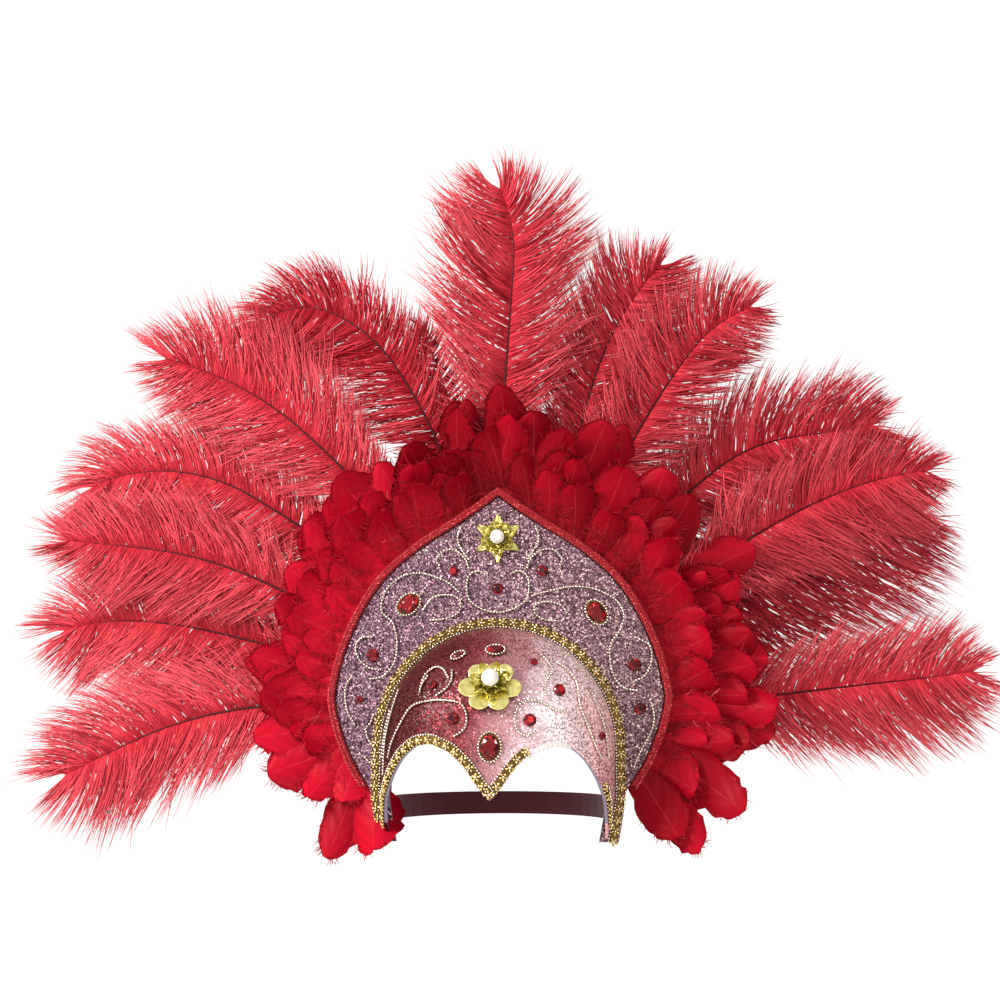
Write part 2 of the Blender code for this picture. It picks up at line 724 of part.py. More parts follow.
def ring_group(places, blades, tape, clear_depth):
    """One comb of feathers: shared tape rows, then each feather's own rows out to its tip."""
    points = []
    fronts = []
    open_edges = []

    def add(flat, depth, thickness):
        points.append(behind_panel(flat.x, flat.y, depth))
        points.append(behind_panel(flat.x, flat.y, depth + thickness))
        return len(points) - 2

    def station(share, cut):
        base = outline_at(places, share + cut)
        way = outwards(base)
        hung = ring_way(share, base)
        inner = add(base - way * RING_TAPE_INNER, tape, RING_TAPE_THICKNESS)
        outer = add(base - way * RING_TAPE_OUTER, tape, RING_TAPE_THICKNESS)
        passing = add(base + hung * (2.2 * BRAID_RADIUS + 2 * GAP), clear_depth, RING_BLADE_THICKNESS)
        return inner, outer, passing

    trim = 0.0006
    shares = [blades[0][0]] + [end for start, end in blades]
    columns = []
    for number, share in enumerate(shares):
        cut = trim if number == 0 else (-trim if number == len(shares) - 1 else 0.0)
        columns.append(station(share, cut))
    for left, right in zip(columns, columns[1:]):
        fronts.append((left[0], right[0], right[1], left[1]))
        fronts.append((left[1], right[1], right[2], left[2]))
    open_edges += [(left[0], right[0]) for left, right in zip(columns, columns[1:])]
    open_edges += [(columns[0][0], columns[0][1]), (columns[0][1], columns[0][2])]
    open_edges += [(columns[-1][0], columns[-1][1]), (columns[-1][1], columns[-1][2])]
    for number, (start, end) in enumerate(blades):
        left = outline_at(places, start)
        right = outline_at(places, end)
        middle = (start + end) / 2
        reach = RING_REACH * read_table(RING_REACH_TABLE, middle) * (1.0 if number % 2 else 0.86)
        curl = RING_FORWARD * (1.0 if number % 2 else 0.55)
        foot_left, foot_right = columns[number][2], columns[number + 1][2]
        rows = [(foot_left, foot_right)]
        for along, width, forward in RING_BLADE_ROWS:
            near = left + ring_way(start, left) * reach * along
            far = right + ring_way(end, right) * reach * along
            narrowing = (far - near) * (1 - width) / 2
            depth = clear_depth - curl * forward
            rows.append((add(near + narrowing, depth, RING_BLADE_THICKNESS),
                         add(far - narrowing, depth, RING_BLADE_THICKNESS)))
        centre = outline_at(places, middle)
        tip = add(centre + ring_way(middle, centre) * reach, clear_depth - curl, RING_BLADE_THICKNESS)
        for (a, b), (c, d) in zip(rows, rows[1:]):
            fronts.append((a, b, d, c))
            open_edges += [(a, c), (b, d)]
        c, d = rows[-1]
        fronts.append((c, d, tip))
        open_edges += [(c, tip), (d, tip)]
    faces = list(fronts)
    faces += [tuple(index + 1 for index in face) for face in fronts]
    faces += [(a, b, b + 1, a + 1) for a, b in open_edges]
    return points, faces


def plume_depth(layer, run):
    """Depth of a quill's middle line: on the ring's tape at its root, then out to its own layer."""
    seated = PANEL_THICKNESS + GAP + RING_TAPE_THICKNESS + GAP + QUILL_RADIUS
    rise = min(1.0, max(0.0, run - QUILL_SEAT) / (VANE_START - QUILL_SEAT))
    return seated + layer * PLUME_LAYER_STEP * rise


def plume_line(places, share, length, headings, count):
    """A quill's flat line and its directions, from the crown's outline outwards."""
    base = outline_at(places, share)
    spot = base - outwards(base) * PLUME_ROOT_INSET
    fine = 60
    step = PLUME_LENGTH * length / fine
    table = [(index / 4, heading) for index, heading in enumerate(headings)]
    line = [spot.copy()]
    ways = []
    for index in range(fine + 1):
        angle = math.radians(read_table(table, index / fine))
        ways.append(Vector((math.cos(angle), math.sin(angle))))
        if index < fine:
            line.append(line[-1] + ways[-1] * step)
    chosen = [round(fine * index / (count - 1)) for index in range(count)]
    return [line[index] for index in chosen], [ways[index] for index in chosen]


def vane_profile(share):
    """Width of the vane along the quill: bare root, full middle, rounded end."""
    return read_table([(0.0, 0.0), (VANE_START, 0.0), (0.34, 0.72), (0.5, 0.98), (0.7, 1.0),
                       (0.88, 0.86), (1.0, 0.62)], share)


def build_plumes(materials, collection):
    places = outline_places(161)
    for name, share, length, layer, upper, lower, headings in PLUMES:
        turned = [heading + 360 if heading < -90 else heading for heading in headings]
        points, faces = plume_body(places, share, length, layer, (upper, lower), turned)
        add_object(name, mesh_from(name, points, faces), materials["plume"], collection)


def plume_body(places, share, length, layer, widths, headings):
    """Quill and vane in one body: a slim six-sided quill whose sides spread into pointed locks."""
    bare = 3
    count = bare + PLUME_LOCKS
    line, ways = plume_line(places, share, length, headings, count)
    leans_left = ways[0].x < 0
    points = []
    rings = []

    def add(flat, depth):
        points.append(behind_panel(flat.x, flat.y, depth))
        return len(points) - 1

    depths = [plume_depth(layer, index / (count - 1)) for index in range(count)]
    for index in range(count):
        run = index / (count - 1)
        spread = vane_profile(run)
        spot, way, depth = line[index], ways[index], depths[index]
        left = Vector((-way.y, way.x))
        thin = QUILL_RADIUS * (1.0 - 0.45 * run)
        ring = [add(spot, depth - thin)]
        for side, width in ((1, widths[1] if leans_left else widths[0]),
                            (-1, widths[0] if leans_left else widths[1])):
            reach = max(thin * 0.9, PLUME_HALF_WIDTH * width * spread * 0.42)
            edge = VANE_EDGE / 2 if spread > 0 else thin * 0.5
            flat = spot + left * side * reach + way * reach * 0.45 * (1 if spread > 0 else 0)
            ring += [add(flat, depth - edge), add(flat, depth + edge)]
        ring.append(add(spot, depth + thin))
        rings.append(ring)
    faces = [(rings[0][0], rings[0][1], rings[0][2], rings[0][5], rings[0][4], rings[0][3])]
    for index in range(count - 1):
        near, far = rings[index], rings[index + 1]
        for side in (1, 3):
            faces.append((near[0], far[0], far[side], near[side]))
            faces.append((near[5], near[side + 1], far[side + 1], far[5]))
            bare_here = vane_profile((index + 1) / (count - 1)) <= 0 or index < bare - 1
            if bare_here:
                faces.append((near[side], far[side], far[side + 1], near[side + 1]))
    for index in range(bare - 1, count - 1):
        near, far = rings[index], rings[index + 1]
        run = (index + 0.5) / (count - 1)
        way = (ways[index] + ways[index + 1]).normalized()
        left = Vector((-way.y, way.x))
        spot = (line[index] + line[index + 1]) / 2
        pitch = (line[index + 1] - line[index]).length
        turn = (ways[index].x * ways[index + 1].y - ways[index].y * ways[index + 1].x) / pitch
        for side, width, slot in ((1, widths[1] if leans_left else widths[0], 1),
                                  (-1, widths[0] if leans_left else widths[1], 3)):
            reach = PLUME_HALF_WIDTH * width * max(vane_profile(run), 0.3)
            room = max(0.4, min(1.0, 1.0 - turn * side * reach))
            reach *= math.sqrt(room)
            slim = pitch * 0.38 * room
            middle = spot + left * side * reach * 0.74 + way * reach * 0.50
            sag = 0.10 * reach * (1.0 if side * (1 if leans_left else -1) > 0 else 0.3)
            tip = spot + left * side * reach * 0.97 + way * reach * 0.82 + Vector((0.0, -sag))
            depth = (depths[index] + depths[index + 1]) / 2
            thin = VANE_EDGE * 0.4
            low_front = add(middle - way * slim, depth - thin)
            low_back = add(middle - way * slim, depth + thin)
            high_front = add(middle + way * slim, depth - thin)
            high_back = add(middle + way * slim, depth + thin)
            point = add(tip, depth)
            a, b, c, d = near[slot], near[slot + 1], far[slot], far[slot + 1]
            faces += [(a, c, high_front, low_front), (b, low_back, high_back, d),
                      (a, low_front, low_back, b), (c, d, high_back, high_front),
                      (low_front, high_front, point), (low_back, point, high_back),
                      (low_front, point, low_back), (high_front, high_back, point)]
    last = rings[-1]
    end = add(line[-1] + ways[-1] * PLUME_HALF_WIDTH * 0.35, depths[-1])
    loop = [last[0], last[1], last[2], last[5], last[4], last[3]]
    faces += [(a, b, end) for a, b in zip(loop, loop[1:] + loop[:1])]
    return points, faces


def main():
    clear_scene()
    collection = bpy.data.collections.new("carnival_feather_headdress")
    bpy.context.scene.collection.children.link(collection)
    materials = make_materials()
    build_panel(materials, collection)
    build_shell(materials, collection)
    build_trims(materials, collection)
    build_strap(materials, collection)
    build_stones(materials, collection)
    build_chains(materials, collection)
    build_flowers(materials, collection)
    build_feather_ring(materials, collection)
    build_plumes(materials, collection)


main()
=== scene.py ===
# %% [markdown]
# A carnival feather headdress, dressed for its picture.
# The solids come ready made: their sizes and places are fixed, and this lesson gives them their looks.
# Everything is in metres, +Z up, and the headdress faces -Y.

# %% Load the solids
import math
import random

import bmesh
import bpy
import numpy as np
from mathutils import Matrix, Vector


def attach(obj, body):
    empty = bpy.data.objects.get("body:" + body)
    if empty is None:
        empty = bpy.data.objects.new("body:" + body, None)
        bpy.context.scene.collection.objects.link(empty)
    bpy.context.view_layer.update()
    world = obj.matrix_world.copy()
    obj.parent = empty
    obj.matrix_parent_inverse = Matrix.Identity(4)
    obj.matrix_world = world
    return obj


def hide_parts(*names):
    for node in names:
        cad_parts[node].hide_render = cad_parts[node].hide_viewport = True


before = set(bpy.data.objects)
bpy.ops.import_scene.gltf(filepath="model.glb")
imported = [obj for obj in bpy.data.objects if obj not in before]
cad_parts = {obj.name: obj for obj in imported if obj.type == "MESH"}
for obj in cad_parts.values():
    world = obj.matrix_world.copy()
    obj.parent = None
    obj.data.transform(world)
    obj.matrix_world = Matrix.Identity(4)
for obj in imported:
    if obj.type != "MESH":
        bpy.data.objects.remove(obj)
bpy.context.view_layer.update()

# %% [markdown]
# The camera stands a metre and a half away, level with the brow and looking a little up, as in the
# photograph: the dome hides more of the panel's foot from there. A long lens keeps the fan flat.

# %% Camera
CAMERA_TURN = math.radians(4.5)
CAMERA_RISE = math.radians(-6.5)
CAMERA_DISTANCE = 1.497
LENS = 70.0
AIM = Vector((0.0013, -0.014, 0.226))


def add_object(name, data):
    item = bpy.data.objects.new(name, data)
    bpy.context.collection.objects.link(item)
    return item


def place_camera():
    data = bpy.data.cameras.new("portrait_camera")
    data.lens = LENS
    camera = add_object("portrait_camera", data)
    away = Vector((math.sin(CAMERA_TURN), -math.cos(CAMERA_TURN), math.tan(CAMERA_RISE))).normalized()
    camera.location = AIM + away * CAMERA_DISTANCE
    camera.rotation_euler = (-away).to_track_quat("-Z", "Y").to_euler()
    bpy.context.scene.camera = camera
    return camera


camera = place_camera()
print("camera at", tuple(round(value, 3) for value in camera.location))

# %% [markdown]
# A pale studio: a floor far below, a white backdrop and soft light that is strongest from the front
# left, so that feathers get a shaded side and metal has something dark to mirror.

# %% Studio
FLOOR_LEVEL = -0.85
FLOOR_HALF_SIZE = 3.6
SOFT_SIDE = (-0.66, -0.60, 0.45)
SOFT_LEAST, SOFT_MOST = 0.12, 1.2
SOFT_FROM, SOFT_TO = -0.7, 0.95
SEEN_WHITE = 1.06
LAMPS = [
    # name, place, size, power, colour
    ("key_lamp", (-1.15, -0.90, 0.80), 0.45, 33.0, (1.0, 0.98, 0.95)),
    ("right_lamp", (1.28, -1.1, 0.75), 0.25, 7.0, (1.0, 0.98, 0.96)),
    ("glint_lamp", (0.30, -1.9, 0.50), 0.15, 6.0, (1.0, 1.0, 1.0)),
    ("back_lamp", (-0.6, 1.8, 1.4), 0.9, 20.0, (1.0, 0.97, 0.95)),
]


def add_lamp(name, place, size, power, colour):
    data = bpy.data.lights.new(name, "AREA")
    data.shape = "DISK"
    data.size = size
    data.energy = power
    data.color = colour
    lamp = add_object(name, data)
    lamp.location = place
    lamp.rotation_euler = (AIM - Vector(place)).to_track_quat("-Z", "Y").to_euler()


def build_surround():
    """The camera sees plain white; the light falls off away from the soft side."""
    world = bpy.data.worlds.new("pale_surround")
    bpy.context.scene.world = world
    world.use_nodes = True
    tree = world.node_tree
    sky = tree.nodes["Background"]
    sky.inputs["Color"].default_value = (1.0, 1.0, 1.0, 1.0)
    where = tree.nodes.new("ShaderNodeTexCoord")
    facing = tree.nodes.new("ShaderNodeVectorMath")
    facing.operation = "DOT_PRODUCT"
    facing.inputs[1].default_value = SOFT_SIDE
    tree.links.new(where.outputs["Generated"], facing.inputs[0])
    fall = tree.nodes.new("ShaderNodeMapRange")
    fall.interpolation_type = "SMOOTHSTEP"
    for label, number in (("From Min", SOFT_FROM), ("From Max", SOFT_TO),
                          ("To Min", SOFT_LEAST), ("To Max", SOFT_MOST)):
        fall.inputs[label].default_value = number
    tree.links.new(facing.outputs["Value"], fall.inputs["Value"])
    seen = tree.nodes.new("ShaderNodeLightPath")
    pick = tree.nodes.new("ShaderNodeMix")
    pick.inputs[3].default_value = SEEN_WHITE
    tree.links.new(seen.outputs["Is Camera Ray"], pick.inputs[0])
    tree.links.new(fall.outputs["Result"], pick.inputs[2])
    tree.links.new(pick.outputs[0], sky.inputs["Strength"])


def build_studio():
    build_surround()
    for row in LAMPS:
        add_lamp(*row)
    half = FLOOR_HALF_SIZE
    mesh = bpy.data.meshes.new("studio_floor")
    corners = [(x, y, FLOOR_LEVEL) for x, y in ((-half, -half), (half, -half), (half, half), (-half, half))]
    mesh.from_pydata(corners, [], [(0, 1, 2, 3)])
    floor = add_object("studio_floor", mesh)
    paint = bpy.data.materials.new("pale_floor")
    paint.use_nodes = True
    shader = paint.node_tree.nodes["Principled BSDF"]
    for label, setting in (("Base Color", (0.90, 0.90, 0.90, 1.0)), ("Emission Color", (1.0, 1.0, 1.0, 1.0)),
                           ("Emission Strength", 0.22), ("Roughness", 0.9), ("Specular IOR Level", 0.0)):
        shader.inputs[label].default_value = setting
    mesh.materials.append(paint)
    bpy.context.scene.view_settings.view_transform = "Standard"


build_studio()
print("studio ready")

# %% [markdown]
# Finishes are written as sums. `Value` wraps one socket and lets Python's own signs add Math nodes.
# `Finish` holds one material, and its `node` method makes every other kind of node.

# %% A small language for finishes


class Value:
    """A socket that joins in sums."""

    def __init__(self, finish, socket):
        self.finish = finish
        self.socket = socket

    def sum(self, operation, other=0.0):
        return self.finish.node("ShaderNodeMath", {"operation": operation}, self, other)

    def __add__(self, other):
        return self.sum("ADD", other)

    def __sub__(self, other):
        return self.sum("SUBTRACT", other)

    def __mul__(self, other):
        return self.sum("MULTIPLY", other)

    def __gt__(self, other):
        return self.sum("GREATER_THAN", other)

    def __lt__(self, other):
        return self.sum("LESS_THAN", other)

    def wave(self):
        return self.sum("SINE") * 0.5 + 0.5


class Finish:
    """One material and the nodes behind it."""

    def __init__(self, name, roughness, metallic, **fixed):
        self.material = bpy.data.materials.new(name)
        self.material.use_nodes = True
        self.tree = self.material.node_tree
        self.shader = self.tree.nodes["Principled BSDF"]
        self.shader.inputs["Roughness"].default_value = roughness
        self.shader.inputs["Metallic"].default_value = metallic
        for label, number in fixed.items():
            self.shader.inputs[label.replace("_", " ")].default_value = number

    def fill(self, socket, value):
        if isinstance(value, Value):
            self.tree.links.new(value.socket, socket)
        elif value is not None:
            socket.default_value = value

    def node(self, kind, settings, *values, out=0, **named):
        made = self.tree.nodes.new(kind)
        for label, setting in settings.items():
            if label == "stops":
                self.set_stops(made.color_ramp, setting)
            else:
                setattr(made, label, setting)
        for socket, value in zip(made.inputs, values):
            self.fill(socket, value)
        for label, value in named.items():
            self.fill(made.inputs[label.replace("_", " ")], value)
        return Value(self, made.outputs[out])

    def set_stops(self, ramp, stops):
        while len(ramp.elements) > 1:
            ramp.elements.remove(ramp.elements[-1])
        for index, (place, colour) in enumerate(stops):
            stop = ramp.elements[0] if index == 0 else ramp.elements.new(place)
            stop.position = place
            stop.color = (*colour, 1.0)

    def place(self):
        return self.node("ShaderNodeTexCoord", {}, out=3)

    def noise(self, scale, detail):
        return self.node("ShaderNodeTexNoise", {}, Vector=self.place(), Scale=scale, Detail=detail)

    def vector(self, operation, *values, **named):
        return self.node("ShaderNodeVectorMath", {"operation": operation}, *values, **named)

    def split(self, kind, value):
        made = self.node(kind, {}, value).socket.node
        return [Value(self, socket) for socket in made.outputs[:3]]

    def attribute(self, name):
        return self.node("ShaderNodeAttribute", {"attribute_name": name}, out=2)

    def ramp(self, factor, stops):
        return self.node("ShaderNodeValToRGB", {"stops": stops}, factor)

    def mix(self, factor, first, second):
        made = self.tree.nodes.new("ShaderNodeMix")
        made.data_type = "RGBA"
        self.fill(made.inputs[0], factor)
        for socket, value in ((made.inputs[6], first), (made.inputs[7], second)):
            self.fill(socket, (*value, 1.0) if isinstance(value, tuple) else value)
        return Value(self, made.outputs[2])

    def bump(self, height, strength, distance):
        return self.node("ShaderNodeBump", {}, Height=height, Strength=strength, Distance=distance)

    def wear(self, **sockets):
        for label, value in sockets.items():
            self.fill(self.shader.inputs[label.replace("_", " ")], value)
        return self.material


print("finish language ready")

# %% [markdown]
# Glitter cloth is thousands of foil flakes a millimetre wide, each tilted its own way. A cell texture
# gives every flake one random vector: it tilts the flake's normal, and picks its tint and shine. Over
# that, light and shade are painted across the cloth from left to right.

# %% Glitter cloth
FLAKE = 0.0010


def glitter(name, tints, painted_light_stops, ground, tilt):
    """Foil flakes on cloth. Tints are the flakes' colours; the other stops paint light and shade across the
    cloth from left to right.
    """
    cloth = Finish(name, 0.35, 0.0, Specular_IOR_Level=0.22)
    where = cloth.place()
    cell = cloth.node("ShaderNodeTexVoronoi", {}, Vector=where, Scale=1.0 / FLAKE, out=1)
    pick, shine, rough = cloth.split("ShaderNodeSeparateColor", cell)
    sideways, _, upwards = cloth.split("ShaderNodeSeparateXYZ", where)
    # Painted light and shade: a ramp from left to right, and a little from top to bottom, multiplies the
    # cloth's colour.
    shade = cloth.ramp(sideways * 4.0 - upwards * 0.8 + cloth.noise(30.0, 3.0) * 0.20 + 0.45, painted_light_stops)
    flakes = cloth.ramp(pick, tints)
    lit = cloth.mix(shine > 0.25, ground, flakes)
    colour = cloth.vector("MULTIPLY", lit, shade)
    normal = cloth.node("ShaderNodeNewGeometry", {}, out=1)
    lean = cloth.vector("SUBTRACT", cell, (0.5, 0.5, 0.5))
    lean = cloth.vector("SCALE", lean, Scale=tilt)
    tilted = cloth.vector("NORMALIZE", cloth.vector("ADD", normal, lean))
    return cloth.wear(Base_Color=colour, Roughness=rough * 0.35 + 0.15,
                      Metallic=(shine > 0.5) * 0.85, Normal=tilted)


panel_cloth = glitter("panel_glitter", [(0.0, (0.08, 0.04, 0.06)), (0.22, (0.24, 0.15, 0.19)),
                                        (0.42, (0.13, 0.06, 0.10)), (0.58, (0.38, 0.30, 0.34)),
                                        (0.70, (0.17, 0.09, 0.14)), (0.80, (0.66, 0.56, 0.56)),
                                        (0.91, (1.0, 0.93, 0.88))],
                      # Panel: painted shade on its left and towards its top, painted light towards its right.
                      [(0.0, (0.66, 0.47, 0.56)), (0.5, (0.90, 0.70, 0.74)), (1.0, (0.88, 0.74, 0.68))],
                      (0.055, 0.02, 0.028), 1.2)
shell_cloth = glitter("rose_glitter", [(0.0, (0.55, 0.45, 0.45)), (0.30, (0.95, 0.85, 0.86)),
                                       (0.55, (0.70, 0.60, 0.60)), (0.80, (1.0, 0.95, 0.95)),
                                       (0.95, (1.0, 1.0, 1.0))],
                      # Dome: painted shade on its left, a painted highlight low down right of the middle, a
                      # rosier right edge.
                      [(0.10, (0.05, 0.004, 0.006)), (0.30, (0.085, 0.008, 0.011)),
                       (0.43, (0.19, 0.035, 0.04)), (0.57, (0.50, 0.28, 0.30)), (0.70, (1.0, 0.92, 0.94)),
                       (0.82, (0.95, 0.68, 0.68)), (0.95, (0.60, 0.26, 0.27))],
                      (0.80, 0.65, 0.65), 0.45)
print("glitter:", panel_cloth.name, shell_cloth.name)

# %% [markdown]
# The metals: cast gold with a slightly green tone, brighter and duller in random patches, and the paler
# bead chain. Their roughness wanders, as on cheap plated trimmings.

# %% Metals, stones and pearls


def plated(name, low, high, roughness):
    metal = Finish(name, roughness, 1.0)
    patches = metal.noise(260.0, 4.0)
    colour = metal.mix(patches, low, high)
    grain = metal.noise(1500.0, 2.0)
    return metal.wear(Base_Color=colour, Roughness=patches * 0.22 + (roughness - 0.08),
                      Normal=metal.bump(grain, 0.25, 0.0002))


gold = plated("gold", (0.34, 0.23, 0.07), (0.86, 0.66, 0.27), 0.26)
leaf_gold = plated("leaf_gold", (0.30, 0.28, 0.07), (0.80, 0.72, 0.24), 0.26)
petal_gold = plated("petal_gold", (0.34, 0.29, 0.07), (0.96, 0.86, 0.34), 0.24)
# Near-black gold for the trims' net and the stones' cups: painted shade, standing in for the shade between the
# flowers and round the stones.
shade_net_gold = plated("shade_net_gold", (0.030, 0.016, 0.006), (0.20, 0.12, 0.04), 0.45)
chain_silver = plated("chain_metal", (0.36, 0.28, 0.22), (1.0, 0.90, 0.76), 0.18)


def cut_red():
    """A foil-backed stone: every facet gets its own random depth of red, a painted reflection of the light
    that it sends back.
    """
    stone = Finish("ruby", 0.06, 0.0, Specular_IOR_Level=0.25, Coat_Weight=0.08, Coat_Roughness=0.03)
    depth = stone.attribute("facet")
    streak = stone.noise(420.0, 2.0)
    colour = stone.ramp(depth * 0.8 + streak * 0.2,
                        [(0.0, (0.010, 0.0, 0.0)), (0.42, (0.045, 0.0, 0.001)), (0.70, (0.20, 0.001, 0.004)),
                         (0.86, (0.42, 0.012, 0.014)), (1.0, (0.95, 0.22, 0.18))])
    return stone.wear(Base_Color=colour, Roughness=streak * 0.08 + 0.03)


ruby = cut_red()


def bead_coat():
    bead = Finish("pearl", 0.16, 0.0, Coat_Weight=0.8, Coat_Roughness=0.06)
    cloud = bead.noise(120.0, 3.0)
    return bead.wear(Base_Color=bead.mix(cloud, (0.78, 0.70, 0.60), (0.68, 0.62, 0.58)),
                     Roughness=cloud * 0.1 + 0.1)


pearl_coat = bead_coat()
print("metals and stones:", gold.name, leaf_gold.name, chain_silver.name, ruby.name, pearl_coat.name)

# %% [markdown]
# Feathers. Barbs carry two numbers: `along` runs from the quill to the barb's tip, and `tint`
# differs from clump to clump. Towards the tips the barbs are painted paler: painted light, standing in for
# light through the thin tips.

# %% Feather and thread finishes


def dyed_barb():
    barb = Finish("plume", 0.5, 0.0, Specular_IOR_Level=0.08)
    along = barb.attribute("along")
    tint = barb.attribute("tint")
    patch = barb.noise(60.0, 3.0)
    deep = barb.mix(tint, (0.15, 0.0, 0.004), (0.50, 0.008, 0.022))
    pale = barb.mix(tint, (0.42, 0.010, 0.022), (0.92, 0.15, 0.18))
    # Paler along the barb towards its tip: painted light through the thin tips.
    colour = barb.mix(along * 0.75 + patch * 0.25, deep, pale)
    return barb.wear(Base_Color=colour, Roughness=patch * 0.2 + 0.45)


def quill_shaft():
    shaft = Finish("quill", 0.5, 0.0, Specular_IOR_Level=0.1)
    streak = shaft.noise(90.0, 3.0)
    return shaft.wear(Base_Color=shaft.mix(streak, (0.014, 0.001, 0.002), (0.06, 0.002, 0.004)),
                      Roughness=streak * 0.2 + 0.4)


def broad_vane():
    """Fine slanting barb lines on both sides of the shaft, read from the feather's own attributes."""
    vane = Finish("broad_feather", 0.5, 0.0, Specular_IOR_Level=0.05)
    across = vane.attribute("across")
    along = vane.attribute("along")
    tint = vane.attribute("tint")
    lines = (along * 150.0 + across * 55.0).wave()
    wide = (along * 31.0 + across * 13.0 + tint * 9.0).wave()
    # The tint sets how dark a feather is, and carries the ring's painted light as well as random tone.
    base = vane.mix(tint, (0.13, 0.0, 0.003), (0.36, 0.001, 0.011))
    tip = vane.mix(tint, (0.28, 0.001, 0.008), (0.52, 0.004, 0.022))
    # Darker at the foot and paler to the end of each feather: painted shade where the feathers overlap.
    edge = vane.mix(along * along * 0.7, base, tip)
    shaft = vane.mix((across < 0.025) * 0.2, edge, (0.55, 0.05, 0.06))
    colour = vane.mix(wide * 0.16 + lines * 0.10, shaft, (0.10, 0.0, 0.002))
    return vane.wear(Base_Color=colour, Roughness=wide * 0.15 + 0.40,
                     Normal=vane.bump(lines * 0.5 + wide * 0.5, 0.22, 0.0005))


def thread(name, low, high, scale, fleck=None):
    yarn = Finish(name, 0.7, 0.0, Sheen_Weight=0.15, Sheen_Roughness=0.4, Specular_IOR_Level=0.2)
    twist = yarn.noise(scale, 4.0)
    colour = yarn.mix(twist, low, high)
    if fleck:
        colour = yarn.mix(yarn.noise(700.0, 1.0) > 0.63, colour, fleck)
    return yarn.wear(Base_Color=colour, Roughness=twist * 0.2 + 0.55,
                     Normal=yarn.bump(twist, 0.5, 0.0004))


plume_barb = dyed_barb()
quill_horn = quill_shaft()
broad_barb = broad_vane()
braid_thread = thread("red_braid", (0.16, 0.0, 0.003), (0.42, 0.004, 0.012), 900.0, (0.66, 0.10, 0.10))
tape_cloth = thread("tape_cloth", (0.06, 0.0, 0.002), (0.14, 0.001, 0.004), 700.0)
lace_thread = thread("lace_thread", (0.50, 0.44, 0.42), (0.80, 0.76, 0.73), 900.0)
elastic_weave = thread("elastic", (0.03, 0.004, 0.006), (0.09, 0.010, 0.014), 800.0)
back_felt = thread("back_felt", (0.16, 0.12, 0.16), (0.26, 0.20, 0.26), 500.0)
print("feathers and threads:", plume_barb.name, broad_barb.name, braid_thread.name)

# %% [markdown]
# Every piece lies on one of two surfaces: the swept panel or the forehead dome. The next cell repeats
# the solids' own sizes and tables, so that what is laid here sits on them from every side.

# %% Sizes, tables and smooth curves
GAP = 0.0004
PANEL_HALF_WIDTH = 0.125
PANEL_HEIGHT = 0.228
PANEL_THICKNESS = 0.003
PANEL_FRONT = -0.028
PANEL_SWEEP = 0.014
PANEL_LEAN = 0.06
PANEL_EDGE_MARGIN = 0.0015
SHELL_HALF_WIDTH = 0.0885
SHELL_TOP = 0.1275
SHELL_SPRING = 0.038
SHELL_DEPTH = 0.065
SHELL_WALL = 0.0025
SHELL_LEDGE = 0.006
TAIL_DROP = 0.033
TAIL_LEAN = 0.006
TRIM_WIDTH = 0.007
BRAID_RADIUS = 0.0034
PANEL_OUTLINE = [(0.0, 1.0), (0.13, 0.948), (0.264, 0.90), (0.48, 0.825), (0.69, 0.728), (0.83, 0.618),
                 (0.936, 0.491), (0.992, 0.373), (1.0, 0.31), (0.955, 0.215), (0.88, 0.118)]
BROW_EDGE = [(0, 0.0), (6, 0.08), (12, 0.19), (20, 0.275), (30, 0.32), (39, 0.308), (49, 0.24),
             (59, 0.13), (68, 0.0), (77, -0.13), (90, -0.245)]


def read_table(rows, place):
    for (start, low), (end, high) in zip(rows, rows[1:]):
        if place <= end:
            return low + (high - low) * max((place - start) / (end - start), 0.0)
    return rows[-1][1]


def through(points, count):
    """A smooth curve through the points, as count points an equal way apart."""
    knots = [Vector(point) for point in points]
    knots = [2 * knots[0] - knots[1]] + knots + [2 * knots[-1] - knots[-2]]
    fine = []
    for a, b, c, d in zip(knots, knots[1:], knots[2:], knots[3:]):
        for step in range(12):
            t = step / 12
            fine.append(0.5 * (2 * b + (c - a) * t + (2 * a - 5 * b + 4 * c - d) * t ** 2
                               + (3 * b - a - 3 * c + d) * t ** 3))
    fine.append(knots[-2])
    run = [0.0]
    for start, end in zip(fine, fine[1:]):
        run.append(run[-1] + (end - start).length)
    path = []
    leg = 0
    for index in range(count):
        goal = run[-1] * index / (count - 1)
        while leg < len(fine) - 2 and run[leg + 1] < goal:
            leg += 1
        share = (goal - run[leg]) / (run[leg + 1] - run[leg])
        path.append(fine[leg].lerp(fine[leg + 1], min(share, 1.0)))
    return path


def length_of(points):
    return sum((end - start).length for start, end in zip(points, points[1:]))


def both_sides(half):
    return [Vector((-point.x, point.y)) for point in reversed(half[1:])] + half


print("outline table:", len(PANEL_OUTLINE), "rows, brow table:", len(BROW_EDGE), "rows")

# %% [markdown]
# A formula gives each surface's point and its normal. The panel sweeps back towards its sides and
# leans a little. The dome is the front of an egg that starts from the panel.

# %% The panel and the dome as formulas


def sweep_slope(x):
    reach = min(abs(x), PANEL_HALF_WIDTH)
    return math.copysign(2 * PANEL_SWEEP * reach / PANEL_HALF_WIDTH ** 2, x)


def panel_y(x, z):
    reach = min(abs(x), PANEL_HALF_WIDTH)
    beyond = (abs(x) - reach) * abs(sweep_slope(PANEL_HALF_WIDTH))
    return PANEL_FRONT + PANEL_SWEEP * (reach / PANEL_HALF_WIDTH) ** 2 + beyond + PANEL_LEAN * z


def on_panel(x, z, height=0.0):
    normal = Vector((sweep_slope(x), -1.0, PANEL_LEAN)).normalized()
    return Vector((x, panel_y(x, z), z)) + normal * height, normal


def arch_half_width(z):
    return SHELL_HALF_WIDTH - TAIL_LEAN * max(-z, 0.0) / TAIL_DROP


